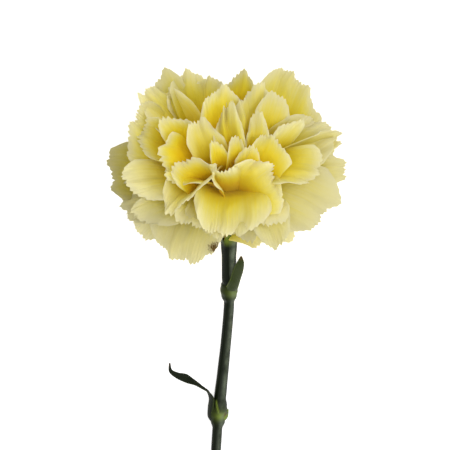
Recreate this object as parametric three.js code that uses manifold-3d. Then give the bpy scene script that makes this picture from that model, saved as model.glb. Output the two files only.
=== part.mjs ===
// A cut carnation: an open double bloom in its calyx, on a short length of jointed stem.
// Millimetres, +Z up. The flower lies on the surface z = 0 with its stem along -Y,
// and its axis rises out of the surface by AXIS_RISE, so the bloom faces up and along +Y.
import * as THREE from "three";
import { mergeVertices } from "three/addons/utils/BufferGeometryUtils.js";
import Module from "manifold-3d";

const wasm = await Module();
wasm.setup();

// ---- driving dimensions --------------------------------------------------------------
const BLOOM_WIDTH = 78;                  // across the open petals, along X
const BLOOM_LENGTH = 64;                 // along Y
const BLOOM_DEPTH = 66;                  // through the bloom, along Z
const BLOOM_LEAN = 0.3;                  // the bloom's back sinks by this share of Y
const BLOOM_HEIGHT = 34;                 // of the bloom's centre over the surface
const AXIS_RISE = 30;                    // degrees
const MOUTH_OFFSET = 1;                  // the calyx mouth lies this far right of the centre
const MOUTH_DISTANCE = 28.1;             // from the bloom's centre back to the calyx mouth
const PETAL_THICKNESS = 0.66;
const CLEARANCE = 0.4;                   // between pieces that touch on the flower

const CALYX_LENGTH = 18.5;
const CALYX_WALL = 0.62;
const CALYX_TEETH = 5;
const CALYX_TOOTH = 2.6;                 // height of a tooth over the mouth

const STEM_RADIUS = 1.7;                 // under the calyx
const UPPER_NODE_RADIUS = 2.35;
const LOWER_NODE_RADIUS = 3.1;
const LEAF_THICKNESS = 0.7;

// ---- the flower's own frame ----------------------------------------------------------
const vec = (x, y, z) => new THREE.Vector3(x, y, z);
const degrees = THREE.MathUtils.degToRad;
const HALF = vec(BLOOM_WIDTH / 2, BLOOM_LENGTH / 2, BLOOM_DEPTH / 2);
const CENTRE = vec(0, 0, BLOOM_HEIGHT);
const AXIS = vec(0, Math.cos(degrees(AXIS_RISE)), Math.sin(degrees(AXIS_RISE)));
const ACROSS = vec(1, 0, 0);
const FACE = new THREE.Vector3().crossVectors(ACROSS, AXIS);    // up, out of the bloom's front
const MOUTH = CENTRE.clone().addScaledVector(AXIS, -MOUTH_DISTANCE).add(vec(MOUTH_OFFSET, 0, 0));
const CALYX_BASE = MOUTH.clone().addScaledVector(AXIS, -CALYX_LENGTH);

// The core that the petals stand out of, with the neck that fills the calyx: height over the
// calyx mouth and radius there.
const CORE_PROFILE = [
  [-13, 0], [-13, 1.1], [-4, 1.5], [0, 2.05], [3, 2.35], [7, 6.5], [10, 12], [14, 16], [19, 18],
  [26, 18], [33, 15.5], [39, 11], [42, 5.5], [43, 0],
];
const CORE_SIDES = 12;

// Petals that face up. Each row: left, middle and right of the lip, then the lead that the
// blade comes out by, as [x, y, share of the bloom's round form], about the bloom's centre.
const FRONT_PETALS = [
  // back row, along the top of the bloom
  [[-22.5, 26.5, 1], [-21, 31.5, 1], [-17.3, 31, 1], [-17.5, 24, 0.85]],
  [[-18, 29, 1], [-10, 31.6, 1], [0, 27.5, 1], [-10.5, 18, 0.78]],
  [[-9.5, 16, 1], [-6, 25, 0.98], [4.5, 27.5, 0.95], [-1.5, 14, 0.78]],
  [[-1, 24, 0.9], [5, 31.8, 0.9], [10, 24, 0.9], [5.3, 17, 0.7]],
  [[9.5, 26.5, 1], [20, 33, 1], [31, 17, 1], [16, 13, 0.78]],
  [[11, 22.5, 0.98], [16, 24.5, 0.98], [22.5, 22.5, 0.98], [16, 11, 0.84]],
  [[5, 14.5, 0.95], [5.5, 22.5, 0.95], [12, 27, 0.95], [11, 15, 0.8]],
  // left side
  [[-25.5, 17, 1], [-23, 25.5, 1], [-16, 27.5, 1], [-15.5, 16, 0.82]],
  [[-35, 2, 1], [-33, 14.5, 1], [-26, 25, 1], [-23, 9, 0.78]],
  [[-28.3, 3, 1.02], [-29.5, 11, 1.02], [-25.5, 17, 1.02], [-19, 8, 0.86]],
  [[-23, 11.5, 1], [-18, 16.5, 1], [-10, 15, 0.97], [-14.5, 7, 0.84]],
  [[-38.5, 7, 1], [-39.6, -1.5, 1], [-36.8, -10, 1], [-25.5, -1, 0.72]],
  [[-34.5, 2, 1.03], [-32, -8, 1.03], [-21, -13, 1.03], [-20, -2, 0.84]],
  [[-37, -8, 1], [-34.5, -15.5, 1], [-27, -21, 1], [-20, -11, 0.76]],
  // heart
  [[-21, -3, 1.05], [-21, 10, 1.05], [-12, 3, 1], [-14, -1, 0.88]],
  [[-18.5, -5, 1.08], [-15, 3, 1.06], [-6, 2.5, 1.03], [-9.5, -6, 0.9]],
  [[-13.5, 9, 1.02], [-9, 16, 1.02], [0, 13.5, 1], [-6, 4, 0.88]],
  [[-3, 11, 1], [0, 21, 1], [6, 13, 0.98], [2, 6, 0.86]],
  [[0.5, 5, 1], [3.3, 10.5, 1], [6.5, 8, 1], [3.5, 1, 0.88]],
  [[6, 10, 0.98], [9, 15.5, 0.98], [15, 12, 0.98], [12, 5, 0.84]],
  [[10, 2, 1.03], [11.5, 11, 1.03], [22, 10.5, 1.03], [17, 1, 0.88]],
  [[-8, 1, 1.05], [-1.5, 5, 1.08], [7, 2, 1.05], [0.5, -5, 0.92]],
  [[7, 2.5, 1.06], [16, -1.5, 1.06], [20.5, -14, 1.06], [9, -7, 0.98]],
  [[3, 4, 1.02], [8, 6, 1.02], [12, 3, 1.02], [8, -3, 0.92]],
  // right side
  [[24, 18, 1], [34, 13.5, 1], [36.5, 3, 1], [20, 5.7, 0.82]],
  [[33, 12.5, 1], [38, 12.7, 1], [37.5, 2.5, 1], [28, 4, 0.76]],
  [[35, 4.5, 1], [39.3, -0.3, 1], [38.3, -5.5, 1], [27, -1, 0.8]],
  [[31.5, 7, 1.03], [32, -2.3, 1.03], [24, -11, 1.03], [17, -1, 0.86]],
  [[39, -2.5, 1], [36.8, -14.5, 1], [24, -22, 1], [18, -7, 0.84]],
  [[22, 3, 1.06], [24, -3, 1.06], [21, -10, 1.06], [14, -1, 0.94]],
  // front row, hanging over the calyx
  [[9.8, -25, 1], [17, -27.6, 1], [24, -21.5, 1], [15.3, -13, 0.9]],
  [[2.8, -23.5, 0.9], [6.7, -26.8, 0.9], [10.3, -24, 0.9], [7, -15, 0.82]],
  [[-30, -19.5, 1], [-26, -25.5, 1], [-18.5, -30.5, 1], [-16, -13, 0.84]],
  [[-20, -28.5, 1], [-11.3, -32.6, 1], [-2.5, -27, 1], [-9, -14, 0.88]],
  [[-5.5, -27, 0.8], [-3, -26.5, 0.8], [1.5, -22, 0.8], [-4, -16, 0.72]],
  [[-31.5, -13, 1.03], [-30, -18.5, 1.03], [-20, -22, 1.03], [-16, -11, 0.9]],
  [[-20.5, -7, 1.06], [-21, -17, 1.06], [-5, -5, 1.1], [-11, -6, 0.97]],
  [[-18.5, -16.5, 1.04], [-13, -20.5, 1.04], [-6, -18.5, 1.04], [-8, -10, 0.97]],
  [[-14, -15.5, 1.08], [0, -21, 1.1], [15, -14.5, 1.08], [1, -7.5, 1.12]],
  [[-14.5, -18, 1.02], [-3.7, -23.5, 1.04], [10.5, -21.5, 1.02], [-1.3, -12, 1.02]],
  [[11, -18.5, 1.04], [17, -19.5, 1.04], [22, -16, 1.04], [14, -10, 1]],
];

// The guard petals, which come straight out of the calyx: the turn of each round the axis in
// degrees, -90 being straight down, its lip's distance from the axis and half its width.
const GUARD_PETALS = [
  [-166, 27, 11], [-128, 36, 14], [-90, 37, 13], [-52, 36, 14], [-14, 25, 10],
  [27, 17, 9], [153, 17, 9],
];
const GUARD_HEIGHT = 4;                  // of their lips over the mouth

// Petals that face down and to the sides, on a spiral round the axis: each is a share of the
// span on from the last, and stands a step higher over the mouth.
const SPIRAL_PETALS = 16;
const SPIRAL_SPAN = 196;                 // degrees, about the downward side
const SPIRAL_STEP = 0.382;
const SPIRAL_HEIGHTS = [12, 52];         // of the first and the last lip
const SPIRAL_RADIUS = 36;                // of the lips round the axis, where they stand furthest out
const SPIRAL_WIDEST = 20;                // at this height
const SPIRAL_TOP = 56;                   // where the lips' round form closes on the axis
const SPIRAL_LIP = { least: 5, share: 0.24 };          // half a lip's width, from its radius
const LAP = 3;                           // how far a lip's one end stands over its middle
const LIP_CURVE = 0.25;                  // how far the ends lie back, as a share of half the width
const LEAD_HEIGHT = { share: 0.8, rise: 5 };           // of the lead, from the lip's height
const LEAD_RADIUS = 0.62;                // the lead's distance from the axis over the lip's

// How a blade is cut and waved.
const PETAL_COLUMNS = 6;
const TOOTH_DEPTH = 0.9;
const RUFFLE = 0.8;
const WAVES = 5.5;                       // radians of the ruffle's wave over half a lip
const WAVE_STEP = 2.4;                   // radians between one petal's wave and the next one's
const LIP_ROUNDING = 0.1;
const LEAD_WIDTH = 0.8;                  // a blade's width at its lead, as a share of its lip's
const ROOT_HALF_WIDTH = 2;
const ROOT_HEIGHT = 2;                   // of a petal's root over the mouth
const ROOT_RADIUS = 1.2;                 // and its distance from the axis
// How a blade leaves the core: reach is how far it runs along the axis before it bends, as a
// share of its way to the lead, start the share of its length that lies inside the core, and
// rows the steps from there to its lip.
const RISING = { reach: 0.45, start: 0.42, rows: 3 };
const FLARING = { reach: 0.18, start: 0.15, rows: 4 };
const SMALLEST_DETAIL = 0.3;          // smaller steps in the fused surface are smoothed away
const PRESSED = 0.23;                    // the lowest that a blade's middle layer may lie

// ---- small helpers -------------------------------------------------------------------

function closedGeometry(positions, triangles) {
  const geometry = new THREE.BufferGeometry();
  geometry.setAttribute("position", new THREE.Float32BufferAttribute(positions, 3));
  geometry.setIndex(triangles);
  return geometry;
}

function solidOf(geometry) {
  const bare = geometry.clone();
  bare.deleteAttribute("normal");
  bare.deleteAttribute("uv");
  const merged = mergeVertices(bare, 1e-4);
  return new wasm.Manifold(new wasm.Mesh({
    numProp: 3,
    vertProperties: new Float32Array(merged.attributes.position.array),
    triVerts: new Uint32Array(merged.index.array),
  }));
}

function geometryOf(solid) {
  const mesh = solid.getMesh();
  return closedGeometry(Array.from(mesh.vertProperties), Array.from(mesh.triVerts));
}

// The largest body of a solid, with any sealed hollow filled.
function mainBody(solid) {
  const bodies = solid.decompose();
  return bodies.reduce((best, body) => (body.volume() > best.volume() ? body : best));
}

function named(name, geometry, colour, roughness) {
  const material = new THREE.MeshStandardMaterial({ color: colour, roughness, metalness: 0 });
  const mesh = new THREE.Mesh(geometry, material);
  mesh.name = name;
  return mesh;
}

// A closed skin over rows of points: the rows are open strips, or rings with closed = true.
function loft(rings) {
  const sides = rings[0].length;
  const positions = rings.flat().flatMap((p) => p.toArray());
  const triangles = [];
  for (let i = 0; i + 1 < rings.length; i += 1) {
    for (let j = 0; j < sides; j += 1) {
      const a = i * sides + j;
      const b = i * sides + ((j + 1) % sides);
      triangles.push(a, b, b + sides, a, b + sides, a + sides);
    }
  }
  for (const end of [0, rings.length - 1]) {
    const middle = positions.length / 3;
    const mean = rings[end].reduce((sum, p) => sum.add(p), vec(0, 0, 0)).divideScalar(sides);
    positions.push(...mean.toArray());
    for (let j = 0; j < sides; j += 1) {
      const a = end * sides + j;
      const b = end * sides + ((j + 1) % sides);
      triangles.push(...(end === 0 ? [middle, b, a] : [middle, a, b]));
    }
  }
  return closedGeometry(positions, triangles);
}

// A closed blade over a grid of points, thick evenly to both sides, both faces split alike.
// Only the last row, the cut edge, keeps every column; the others keep every second one.
function blade(grid, thickness) {
  const lastRow = grid.length - 1;
  const lastColumn = grid[0].length - 1;
  const kept = grid.map((row, i) => row.map((_, j) => j).filter((j) => i === lastRow || j % 2 === 0));
  const starts = kept.map((_, i) => kept.slice(0, i).reduce((sum, row) => sum + row.length, 0));
  const under = starts[lastRow] + kept[lastRow].length;
  const positions = [];
  for (const side of [0.5, -0.5]) {
    kept.forEach((columns, i) => columns.forEach((j) => {
      const along = grid[Math.min(i + 1, lastRow)][j].clone().sub(grid[Math.max(i - 1, 0)][j]);
      const over = grid[i][Math.min(j + 1, lastColumn)].clone().sub(grid[i][Math.max(j - 1, 0)]);
      const normal = over.cross(along).normalize();
      positions.push(...grid[i][j].clone().addScaledVector(normal, side * thickness).toArray());
    }));
  }
  const triangles = [];
  const addBoth = (a, b, c) => triangles.push(a, b, c, under + a, under + c, under + b);
  for (let i = 0; i < lastRow; i += 1) {
    for (let k = 0; k + 1 < kept[i].length; k += 1) {
      const a = starts[i] + k;
      if (i + 1 < lastRow) {
        const d = starts[i + 1] + k;
        addBoth(a, a + 1, d + 1);
        addBoth(a, d + 1, d);
      } else {
        const d = starts[lastRow] + 2 * k;
        addBoth(a, d + 1, d);
        addBoth(a, a + 1, d + 1);
        addBoth(a + 1, d + 2, d + 1);
      }
    }
  }
  const rim = [
    ...kept[0].map((_, k) => k),
    ...starts.slice(1, lastRow).map((start, i) => start + kept[i + 1].length - 1),
    ...kept[lastRow].map((_, k) => under - 1 - k),
    ...starts.slice(1, lastRow).reverse(),
  ];
  rim.forEach((a, k) => {
    const b = rim[(k + 1) % rim.length];
    triangles.push(a, under + a, under + b, a, under + b, b);
  });
  return closedGeometry(positions, triangles);
}

// ---- petals --------------------------------------------------------------------------
// A point over the bloom's middle plane, on its round form scaled by a share.
function onForm([x, y, share]) {
  const inside = share ** 2 - (x / HALF.x) ** 2 - (y / HALF.y) ** 2;
  return vec(x, y, HALF.z * Math.sqrt(Math.max(0, inside)) - BLOOM_LEAN * y).add(CENTRE);
}

function aroundAxis(turn, height, radius) {
  return MOUTH.clone().addScaledVector(AXIS, height)
    .addScaledVector(ACROSS, radius * Math.cos(turn)).addScaledVector(FACE, radius * Math.sin(turn));
}

// A petal at a turn round the axis, its lip at a height over the mouth and a radius.
function petalAt(turn, height, radius, halfWidth, stance) {
  const over = new THREE.Vector3().crossVectors(AXIS, aroundAxis(turn, 0, 1).sub(MOUTH));
  const lip = [-1, 0, 1].map((side) => (
    aroundAxis(turn, height + side * LAP, radius - side * side * LIP_CURVE * halfWidth)
      .addScaledVector(over, side * halfWidth)
  ));
  const rise = LEAD_HEIGHT.share * height + LEAD_HEIGHT.rise;
  return { lip, lead: aroundAxis(turn, rise, LEAD_RADIUS * radius), ...stance };
}

function spiralPetal(k) {
  const turn = degrees(-90 + SPIRAL_SPAN * (((k * SPIRAL_STEP) % 1) - 0.5));
  const height = THREE.MathUtils.lerp(...SPIRAL_HEIGHTS, k / (SPIRAL_PETALS - 1));
  const off = (height - SPIRAL_WIDEST) / (SPIRAL_TOP - SPIRAL_WIDEST);
  const radius = SPIRAL_RADIUS * Math.sqrt(1 - off * off);
  return petalAt(turn, height, radius, SPIRAL_LIP.least + SPIRAL_LIP.share * radius, RISING);
}

// The middle layer of one petal, from inside the core out to its lip: a blade that rises from
// the neck along the flower's axis and bends over its lead.
function petalGrid({ lip: [left, middle, right], lead, reach, start, rows }, index) {
  const away = middle.clone().sub(MOUTH);
  const out = away.clone().addScaledVector(AXIS, -away.dot(AXIS)).normalize();
  const root = MOUTH.clone().addScaledVector(AXIS, ROOT_HEIGHT).addScaledVector(out, ROOT_RADIUS);
  const bend = root.clone().addScaledVector(AXIS, reach * root.distanceTo(lead));
  const chord = right.clone().sub(left);
  const over = chord.clone().normalize();
  const phase = WAVE_STEP * index;
  const grid = [];
  for (let i = 0; i <= rows; i += 1) {
    const row = [];
    for (let j = 0; j <= PETAL_COLUMNS; j += 1) {
      const u = (2 * j) / PETAL_COLUMNS - 1;
      const tooth = i === rows ? (j % 2 ? 1 : -1) * TOOTH_DEPTH * 0.5 : 0;
      const lip = left.clone().multiplyScalar((u * (u - 1)) / 2)
        .addScaledVector(middle, 1 - u * u)
        .addScaledVector(right, (u * (u + 1)) / 2);
      const v = THREE.MathUtils.lerp(start, 1, i / rows) * (1 - LIP_ROUNDING * u ** 4);
      const w = 1 - v;
      const leadHere = lead.clone().addScaledVector(lip.clone().sub(middle), LEAD_WIDTH);
      const point = root.clone().addScaledVector(over, ROOT_HALF_WIDTH * u).multiplyScalar(w ** 3)
        .addScaledVector(bend.clone().addScaledVector(over, 2 * ROOT_HALF_WIDTH * u), 3 * w * w * v)
        .addScaledVector(leadHere, 3 * w * v * v)
        .addScaledVector(lip, v ** 3);
      const end = lip.clone().sub(leadHere).normalize();
      const normal = new THREE.Vector3().crossVectors(chord, end).normalize();
      point.addScaledVector(normal, RUFFLE * v ** 3 * Math.sin(WAVES * u + phase));
      point.addScaledVector(end, tooth);
      point.z = Math.max(point.z, PRESSED);
      row.push(point);
    }
    grid.push(row);
  }
  return grid;
}

function bloomCore() {
  const points = CORE_PROFILE.map(([h, r]) => new THREE.Vector2(r, h));
  return placedOnAxis(new THREE.LatheGeometry(points, CORE_SIDES), MOUTH);
}

// Turns a shape made about +Y so that it stands on the flower's axis at a point.
function placedOnAxis(geometry, point) {
  const turn = new THREE.Quaternion().setFromUnitVectors(vec(0, 1, 0), AXIS);
  return geometry.applyQuaternion(turn).translate(point.x, point.y, point.z);
}

// ---- calyx ---------------------------------------------------------------------------
// Height over the calyx foot and outer radius there; the wall widens into the toothed mouth.
const CALYX_PROFILE = [
  [0, 1.75], [0.8, 2.25], [3, 2.38], [11, 2.4], [15.5, 2.65], [CALYX_LENGTH, 3.08],
];
const CALYX_FLOOR = 1.4;                 // thickness of the closed foot
const CALYX_SIDES = 6 * CALYX_TEETH;
const TOOTH_FOOT = 15.6;                 // the teeth begin to rise at this height

function calyx() {
  const inner = CALYX_PROFILE.slice(1).reverse().map(([h, r]) => [h, r - CALYX_WALL]);
  const floor = [[CALYX_FLOOR, inner.at(-1)[1]], [CALYX_FLOOR, 0]];
  const rows = [[0, 0], ...CALYX_PROFILE, ...inner.slice(0, -1), ...floor];
  const profile = rows.map(([h, r]) => new THREE.Vector2(r, h));
  const geometry = new THREE.LatheGeometry(profile, CALYX_SIDES);
  const place = geometry.attributes.position;
  for (let i = 0; i < place.count; i += 1) {
    const turn = Math.atan2(place.getX(i), place.getZ(i)) * CALYX_TEETH;
    const share = THREE.MathUtils.smoothstep(place.getY(i), TOOTH_FOOT, CALYX_LENGTH);
    place.setY(i, place.getY(i) + share * CALYX_TOOTH * (0.5 + 0.5 * Math.cos(turn)));
  }
  return placedOnAxis(geometry, CALYX_BASE);
}

// The room that the calyx and its teeth take up, with clearance, which petals are kept out of.
function calyxRoom() {
  const top = CALYX_LENGTH + CALYX_TOOTH + CLEARANCE;
  const outer = CALYX_PROFILE.map(([h, r]) => [h, r + CLEARANCE]);
  const inner = CALYX_PROFILE.slice(2).reverse().map(([h, r]) => [h, r - CALYX_WALL - CLEARANCE]);
  const mouth = [[top, outer.at(-1)[1] + CLEARANCE], [top, inner[0][1]]];
  const profile = [[0, 0], ...outer, ...mouth, ...inner, [inner.at(-1)[0], 0]];
  const points = profile.map(([h, r]) => new THREE.Vector2(r, h));
  return placedOnAxis(new THREE.LatheGeometry(points, CALYX_SIDES), CALYX_BASE);
}

// ---- stem ----------------------------------------------------------------------------
const LOWER_NODE = vec(-2.6, -84, 3.6);
const STEM_ROUTE = [
  CALYX_BASE.clone().addScaledVector(AXIS, -CLEARANCE),
  CALYX_BASE.clone().addScaledVector(AXIS, -2.6),
  vec(1, -47, 7.3), vec(0.3, -56, 5.7), vec(-0.9, -68, 4.5), vec(-2.1, -79, 3.8), LOWER_NODE,
  vec(-3.2, -93, 3), vec(-4.2, -110, 2.3), vec(-5.2, -128, 1.75),
];
const STEM_GIRTH = [                     // distance along -Y, and radius there
  [-40, 1.9], [-42, UPPER_NODE_RADIUS], [-44.4, 2.1], [-47, STEM_RADIUS], [-60, 1.78], [-70, 1.92],
  [-78, 2.05], [-81, 2.6], [-83.6, LOWER_NODE_RADIUS], [-86.4, 2.3], [-89, 1.68], [-110, 1.66],
  [-128, 1.66],
];
const CUT_SLANT = 1.4;                   // the cut end leans by this much
const STEM_STEPS = 44;
const STEM_SIDES = 14;

function girthAt(y) {
  const after = STEM_GIRTH.findIndex(([at]) => at < y);
  if (after === 0) return STEM_GIRTH[0][1];
  if (after < 0) return STEM_GIRTH.at(-1)[1];
  const [y0, r0] = STEM_GIRTH[after - 1];
  const [y1, r1] = STEM_GIRTH[after];
  return THREE.MathUtils.lerp(r0, r1, THREE.MathUtils.smoothstep(y0 - y, 0, y0 - y1));
}

const stemLine = new THREE.CatmullRomCurve3(STEM_ROUTE, false, "centripetal");

function stem() {
  const rings = [];
  for (let i = 0; i <= STEM_STEPS; i += 1) {
    const t = i / STEM_STEPS;
    const centre = stemLine.getPoint(t);
    const along = stemLine.getTangent(t);
    const right = new THREE.Vector3().crossVectors(vec(0, 0, 1), along).normalize();
    const up = new THREE.Vector3().crossVectors(along, right);
    const radius = girthAt(centre.y);
    const slant = i === STEM_STEPS ? CUT_SLANT : 0;
    rings.push(Array.from({ length: STEM_SIDES }, (_, k) => {
      const turn = (2 * Math.PI * k) / STEM_SIDES;
      return centre.clone().addScaledVector(right, radius * Math.cos(turn))
        .addScaledVector(up, radius * Math.sin(turn))
        .addScaledVector(along, slant * Math.cos(turn));
    }));
  }
  return loft(rings);
}

// ---- leaves --------------------------------------------------------------------------
// Each leaf's stations run from its foot to its tip: the middle of the blade, counted from the
// calyx foot or the lower node, its half width, the direction across it, and its edges' fold.
const UPPER_BRACT = [
  { at: [0.5, -3.6, 2.3], half: 2.7, over: [1, 0, 0], fold: [0, 0, -1.9] },
  { at: [0.8, -1.1, 3.3], half: 2.7, over: [1, 0, -0.1], fold: [0, 0, -1.5] },
  { at: [2.05, 1.7, 5], half: 2.2, over: [1, 0, -0.4], fold: [0, 0, -0.7] },
  { at: [3.25, 5.2, 6.7], half: 2.1, over: [1, 0, -0.5], fold: [0, 0, -0.4] },
  { at: [4, 7.9, 7.75], half: 1.4, over: [1, 0, -0.5], fold: [0, 0, -0.2] },
  { at: [4.1, 9.9, 8.35], half: 0.3, over: [1, 0, -0.5], fold: [0, 0, 0] },
];
const SHORT_BRACT = [
  { at: [0.3, -3.9, -5.75], half: 2.5, over: [-1, 0, 0], fold: [0, 0, 1.9] },
  { at: [0.1, -1.3, -5.65], half: 2.5, over: [-1, 0, 0], fold: [0, 0, 1.7] },
  { at: [-0.1, 1.5, -4.5], half: 1.9, over: [-1, 0, 0], fold: [0, 0, 0.8] },
  { at: [-0.3, 3.9, -3.3], half: 0.4, over: [-1, 0, 0], fold: [0, 0, 0] },
];
const CURLED_LEAF = [
  { at: [-4.25, -0.2, 0], half: 2.5, over: [0, 0, 1], fold: [1.5, 0, 0] },
  { at: [-3.85, 2.9, 0.1], half: 2.4, over: [0, 0, 1], fold: [1.4, 0, 0] },
  { at: [-2.95, 5.6, 0.4], half: 2.0, over: [0, 0, 1], fold: [0.9, 0, 0] },
  { at: [-3.4, 7.6, 1], half: 1.6, over: [0.2, 0, 1], fold: [0.3, 0, 0] },
  { at: [-5.9, 9.7, 1.9], half: 1.4, over: [0.1, -0.25, 1], fold: [0, 0, 0] },
  { at: [-8.2, 11.1, 2.1], half: 1.4, over: [0.2, -1, 0.7], fold: [0, 0, 0.2] },
  { at: [-10.8, 12.4, 1.8], half: 1.5, over: [0.25, -1, 0.1], fold: [0, 0, 0.4] },
  { at: [-14.1, 13.6, 1.2], half: 1.1, over: [0.3, -1, 0], fold: [0, 0, 0.3] },
  { at: [-16.1, 14.9, 0.8], half: 0.7, over: [0.9, -0.5, 0], fold: [0, 0, 0.1] },
  { at: [-16.4, 17.5, 0.8], half: 0.25, over: [1, 0.1, 0], fold: [0, 0, 0] },
];
const LEAF_STUB = [
  { at: [4.25, -0.6, 0], half: 2.2, over: [0, 0, -1], fold: [-1.3, 0, 0] },
  { at: [4.2, 2, 0.1], half: 2.1, over: [0, 0, -1], fold: [-1.2, 0, 0] },
  { at: [4.05, 3.6, 0.4], half: 1.1, over: [0, 0, -1], fold: [-0.4, 0, 0] },
];
const LEAF_COLUMNS = 6;

function leaf(stations, seat) {
  const grid = stations.map(({ at, half, over, fold }) => {
    const side = vec(...over).normalize();
    return Array.from({ length: LEAF_COLUMNS + 1 }, (_, j) => {
      const u = (2 * j) / LEAF_COLUMNS - 1;
      return vec(...at).add(seat).addScaledVector(side, u * half).addScaledVector(vec(...fold), u * u);
    });
  });
  return blade(grid, LEAF_THICKNESS);
}

// ---- the bloom as one body -----------------------------------------------------------
const TRIM = 200;                        // side of the block that trims the pressed petals flat

function bloom() {
  const fronts = FRONT_PETALS.map((row) => {
    const [left, middle, right, lead] = row.map(onForm);
    return { lip: [left, middle, right], lead, ...RISING };
  });
  const guards = GUARD_PETALS.map(([turn, radius, halfWidth]) => (
    petalAt(degrees(turn), GUARD_HEIGHT, radius, halfWidth, FLARING)
  ));
  const spiral = Array.from({ length: SPIRAL_PETALS }, (_, k) => spiralPetal(k));
  let body = solidOf(bloomCore());
  [...fronts, ...guards, ...spiral].forEach((petal, index) => {
    body = body.add(solidOf(blade(petalGrid(petal, index), PETAL_THICKNESS)));
  });
  const surface = new THREE.BoxGeometry(TRIM, TRIM, TRIM).translate(0, 0, -TRIM / 2);
  const clear = body.subtract(solidOf(calyxRoom())).subtract(solidOf(surface));
  return geometryOf(mainBody(clear.simplify(SMALLEST_DETAIL)));
}

// ---- the flower ----------------------------------------------------------------------
const YELLOW = 0xf0e27a;
const PALE_GREEN = 0x5c7340;
const GREEN = 0x3f5a2c;
const DARK_GREEN = 0x2f4527;

const flower = new THREE.Group();
flower.add(named("bloom", bloom(), YELLOW, 0.6));
flower.add(named("calyx", calyx(), GREEN, 0.55));
flower.add(named("stem", stem(), DARK_GREEN, 0.5));
flower.add(named("upper_bract", leaf(UPPER_BRACT, CALYX_BASE), GREEN, 0.55));
flower.add(named("short_bract", leaf(SHORT_BRACT, CALYX_BASE), GREEN, 0.55));
flower.add(named("curled_leaf", leaf(CURLED_LEAF, LOWER_NODE), DARK_GREEN, 0.6));
flower.add(named("leaf_stub", leaf(LEAF_STUB, LOWER_NODE), PALE_GREEN, 0.6));

// The origin is the bottom centre of the whole flower's box.
const extent = new THREE.Box3().setFromObject(flower);
const middle = extent.getCenter(vec(0, 0, 0));
flower.position.set(-middle.x, -middle.y, -extent.min.z);

export default flower;
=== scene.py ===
"""The looks of a cut carnation: a yellow double bloom in its calyx, lying on a pale surface.

Places and sizes are millimetres in the flower's own frame, whose origin is on the surface under
the bloom's centre, with X to the right of the picture, Y up the picture and Z towards the camera.
They become metres in the model's frame when a mesh is made.
"""

from __future__ import annotations

import logging
import math
from dataclasses import dataclass, field
from enum import Enum
from itertools import count

import bmesh
import bpy
import numpy as np
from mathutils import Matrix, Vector


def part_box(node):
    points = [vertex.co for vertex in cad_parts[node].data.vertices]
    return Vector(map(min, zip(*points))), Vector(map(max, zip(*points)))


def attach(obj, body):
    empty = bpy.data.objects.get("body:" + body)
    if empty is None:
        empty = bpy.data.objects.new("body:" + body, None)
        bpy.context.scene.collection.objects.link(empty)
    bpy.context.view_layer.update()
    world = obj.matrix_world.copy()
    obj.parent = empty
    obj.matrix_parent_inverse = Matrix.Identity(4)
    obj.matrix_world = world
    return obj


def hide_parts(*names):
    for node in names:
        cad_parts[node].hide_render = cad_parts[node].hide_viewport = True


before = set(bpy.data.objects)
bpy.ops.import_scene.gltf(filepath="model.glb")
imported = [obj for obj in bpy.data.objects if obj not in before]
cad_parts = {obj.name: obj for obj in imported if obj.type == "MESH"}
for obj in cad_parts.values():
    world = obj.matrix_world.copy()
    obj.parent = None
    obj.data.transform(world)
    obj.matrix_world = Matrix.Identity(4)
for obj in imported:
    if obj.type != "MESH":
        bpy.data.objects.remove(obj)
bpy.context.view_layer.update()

LOG = logging.getLogger("carnation")
BODY = "root"
MM = 0.001
TURN = 2.0 * math.pi
ACROSS = np.array([1.0, 0.0, 0.0])
TINY = 1e-9

Socket = bpy.types.NodeSocket
Colour = tuple[float, float, float]
Place = tuple[float, float, float]
Span = tuple[float, float]
RingRow = tuple[float, float, float, float]
Station = tuple[Place, float, Place, Place]


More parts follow.
